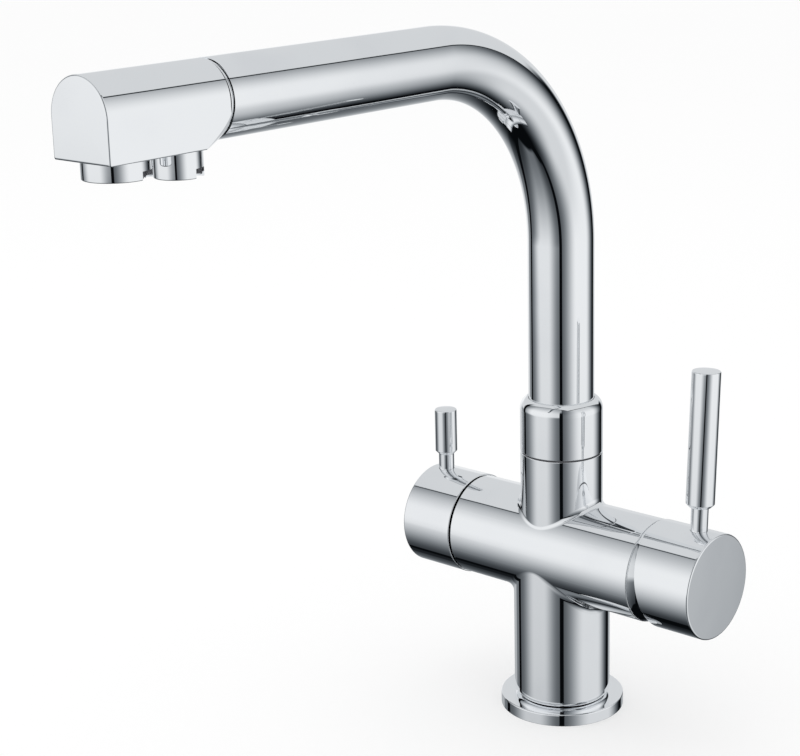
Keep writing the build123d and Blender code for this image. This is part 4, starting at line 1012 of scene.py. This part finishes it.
limit = size["Radius"] - size["Wall"] - size["Hole radius"]
steps = tree.math("FLOOR", limit / size["Pitch"])
field = {"Size X": 2 * steps * size["Pitch"], "Size Y": 2 * steps * size["Pitch"]}
field = {**field, "Vertices X": 2 * steps + 1, "Vertices Y": 2 * steps + 1}
places = tree.add("GeometryNodeMeshGrid", {}, field)["Mesh"]
spot = tree.add("GeometryNodeInputPosition")["Position"]
distance = tree.add("ShaderNodeVectorMath", {"operation": "LENGTH"}, {0: spot})["Value"]
outside = tree.math("GREATER_THAN", distance, limit)
kept = {"Geometry": places, "Selection": outside}
places = tree.add("GeometryNodeDeleteGeometry", {}, kept)["Geometry"]
drill = solid_bar(tree, size["Hole radius"], size["Bottom"] - 1, size["Top"] + 1, 20)
holes = tree.add("GeometryNodeInstanceOnPoints", {}, {"Points": places, "Instance": drill})["Instances"]
holes = tree.add("GeometryNodeRealizeInstances", {}, {"Geometry": holes})["Geometry"]
cup = solid_bar(tree, size["Radius"], size["Bottom"], size["Top"], 96)
hollow = size["Radius"] - size["Wall"], size["Bottom"] + size["Face"], size["Top"] - size["Core"]
hollow = solid_bar(tree, *hollow, 96)
without = {"operation": "DIFFERENCE", "solver": "EXACT"}
pierced = {"Mesh 1": cup, "Mesh 2": [hollow, holes]}
pierced = tree.add("GeometryNodeMeshBoolean", without, pierced)["Mesh"]
cup = {"Geometry": pierced, "Translation": size["Place"]}
ended(tree, tree.add("GeometryNodeTransform", {}, cup)["Geometry"], size["Material"])


# %% One straightener for each outlet
def straightener(name, place, radius, bottom, top):
    """A finished straightener, with its bottom and top measured from the head's underside."""
    sizes = {**cup_sizes, "Radius": radius, "Bottom": bottom, "Top": top}
    sizes = {**sizes, "Place": place.to_translation(), "Material": painted_shade_plastic}
    return polished(grown(name, cup_rule, sizes))


# The straighteners take the near-black plastic, which is painted shade inside the outlets.
main_face = straightener("main_outlet_face", main_place, radius=9.3, bottom=-6.0, top=7.0)
filter_face = straightener("filter_outlet_face", filter_place, radius=5.2, bottom=-9.5, top=4.8)
settle(main_face, "spout", "main_aerator_insert", "acetal", painted_shade_plastic)
settle(filter_face, "spout", "filter_nozzle_insert", "acetal", painted_shade_plastic)

# %% [markdown]
# Three small socket screws hold the moving pieces: one under each drum and one behind the socket of the
# spout. They are the same screw in other sizes, so they share a node group that turns a bar and its
# point, sinks the six-sided key hole and puts the screw in its place.

# %% The socket screws
grub = {"Radius": 2.5, "Length": 9.0, "Point radius": 1.9, "Point length": 0.4}
grub = {**grub, "Key radius": 1.25, "Key depth": 3.6}
holder = {**grub, "Length": 5.7, "Point radius": 1.6, "Point length": 2.3, "Key depth": 1.36}
sockets = {**dict.fromkeys(grub, number), "Place": "NodeSocketVector", "Turn": number}
screw_rule, tree = rule("socket_screw_rule", {**sockets, "Material": "NodeSocketMaterial"})
size = tree.add("NodeGroupInput")
shank_end = size["Point length"] - size["Length"]
shank = solid_bar(tree, size["Radius"], shank_end, 0.0, 64)
tip = solid_bar(tree, size["Point radius"], -1 * size["Length"], shank_end + 0.1, 48)
key = solid_bar(tree, size["Key radius"], -1 * size["Key depth"], 1.0, 6)
together = {"operation": "UNION", "solver": "EXACT"}
whole = tree.add("GeometryNodeMeshBoolean", together, {1: [shank, tip]})["Mesh"]
drilled = tree.add("GeometryNodeMeshBoolean", without, {"Mesh 1": whole, "Mesh 2": [key]})["Mesh"]
turn = tree.add("ShaderNodeCombineXYZ", {}, {"X": size["Turn"]})["Vector"]
screw = {"Geometry": drilled, "Translation": size["Place"], "Rotation": turn}
screw = tree.add("GeometryNodeTransform", {}, screw)["Geometry"]
ended(tree, screw, size["Material"])


def socket_screw(name, sizes, place, turn):
    """A finished socket screw from its sizes, the place of its head and its turn about x in degrees."""
    sizes = {**sizes, "Place": Vector(place), "Turn": math.radians(turn)}
    return polished(grown(name, screw_rule, {**sizes, "Material": inner_finishes["steel"]}), crisp=25)


mixing_screw = socket_screw("mixing_drum_screw", grub, mixing_stand @ Vector((0, 0, -12.5)), 177)
filter_screw = socket_screw("filter_drum_screw", grub, screw_stand @ Vector((0, 0, -13)), 180)
spout_screw = socket_screw("spout_holding_screw", holder, (0, 17.4, screw_height), -90)
settle(mixing_screw, "mixer_handle", "mixer_grub_screw", "steel")
settle(filter_screw, "filter_handle", "filter_grub_screw", "steel")
settle(spout_screw, "stand", "spout_retaining_screw", "steel")
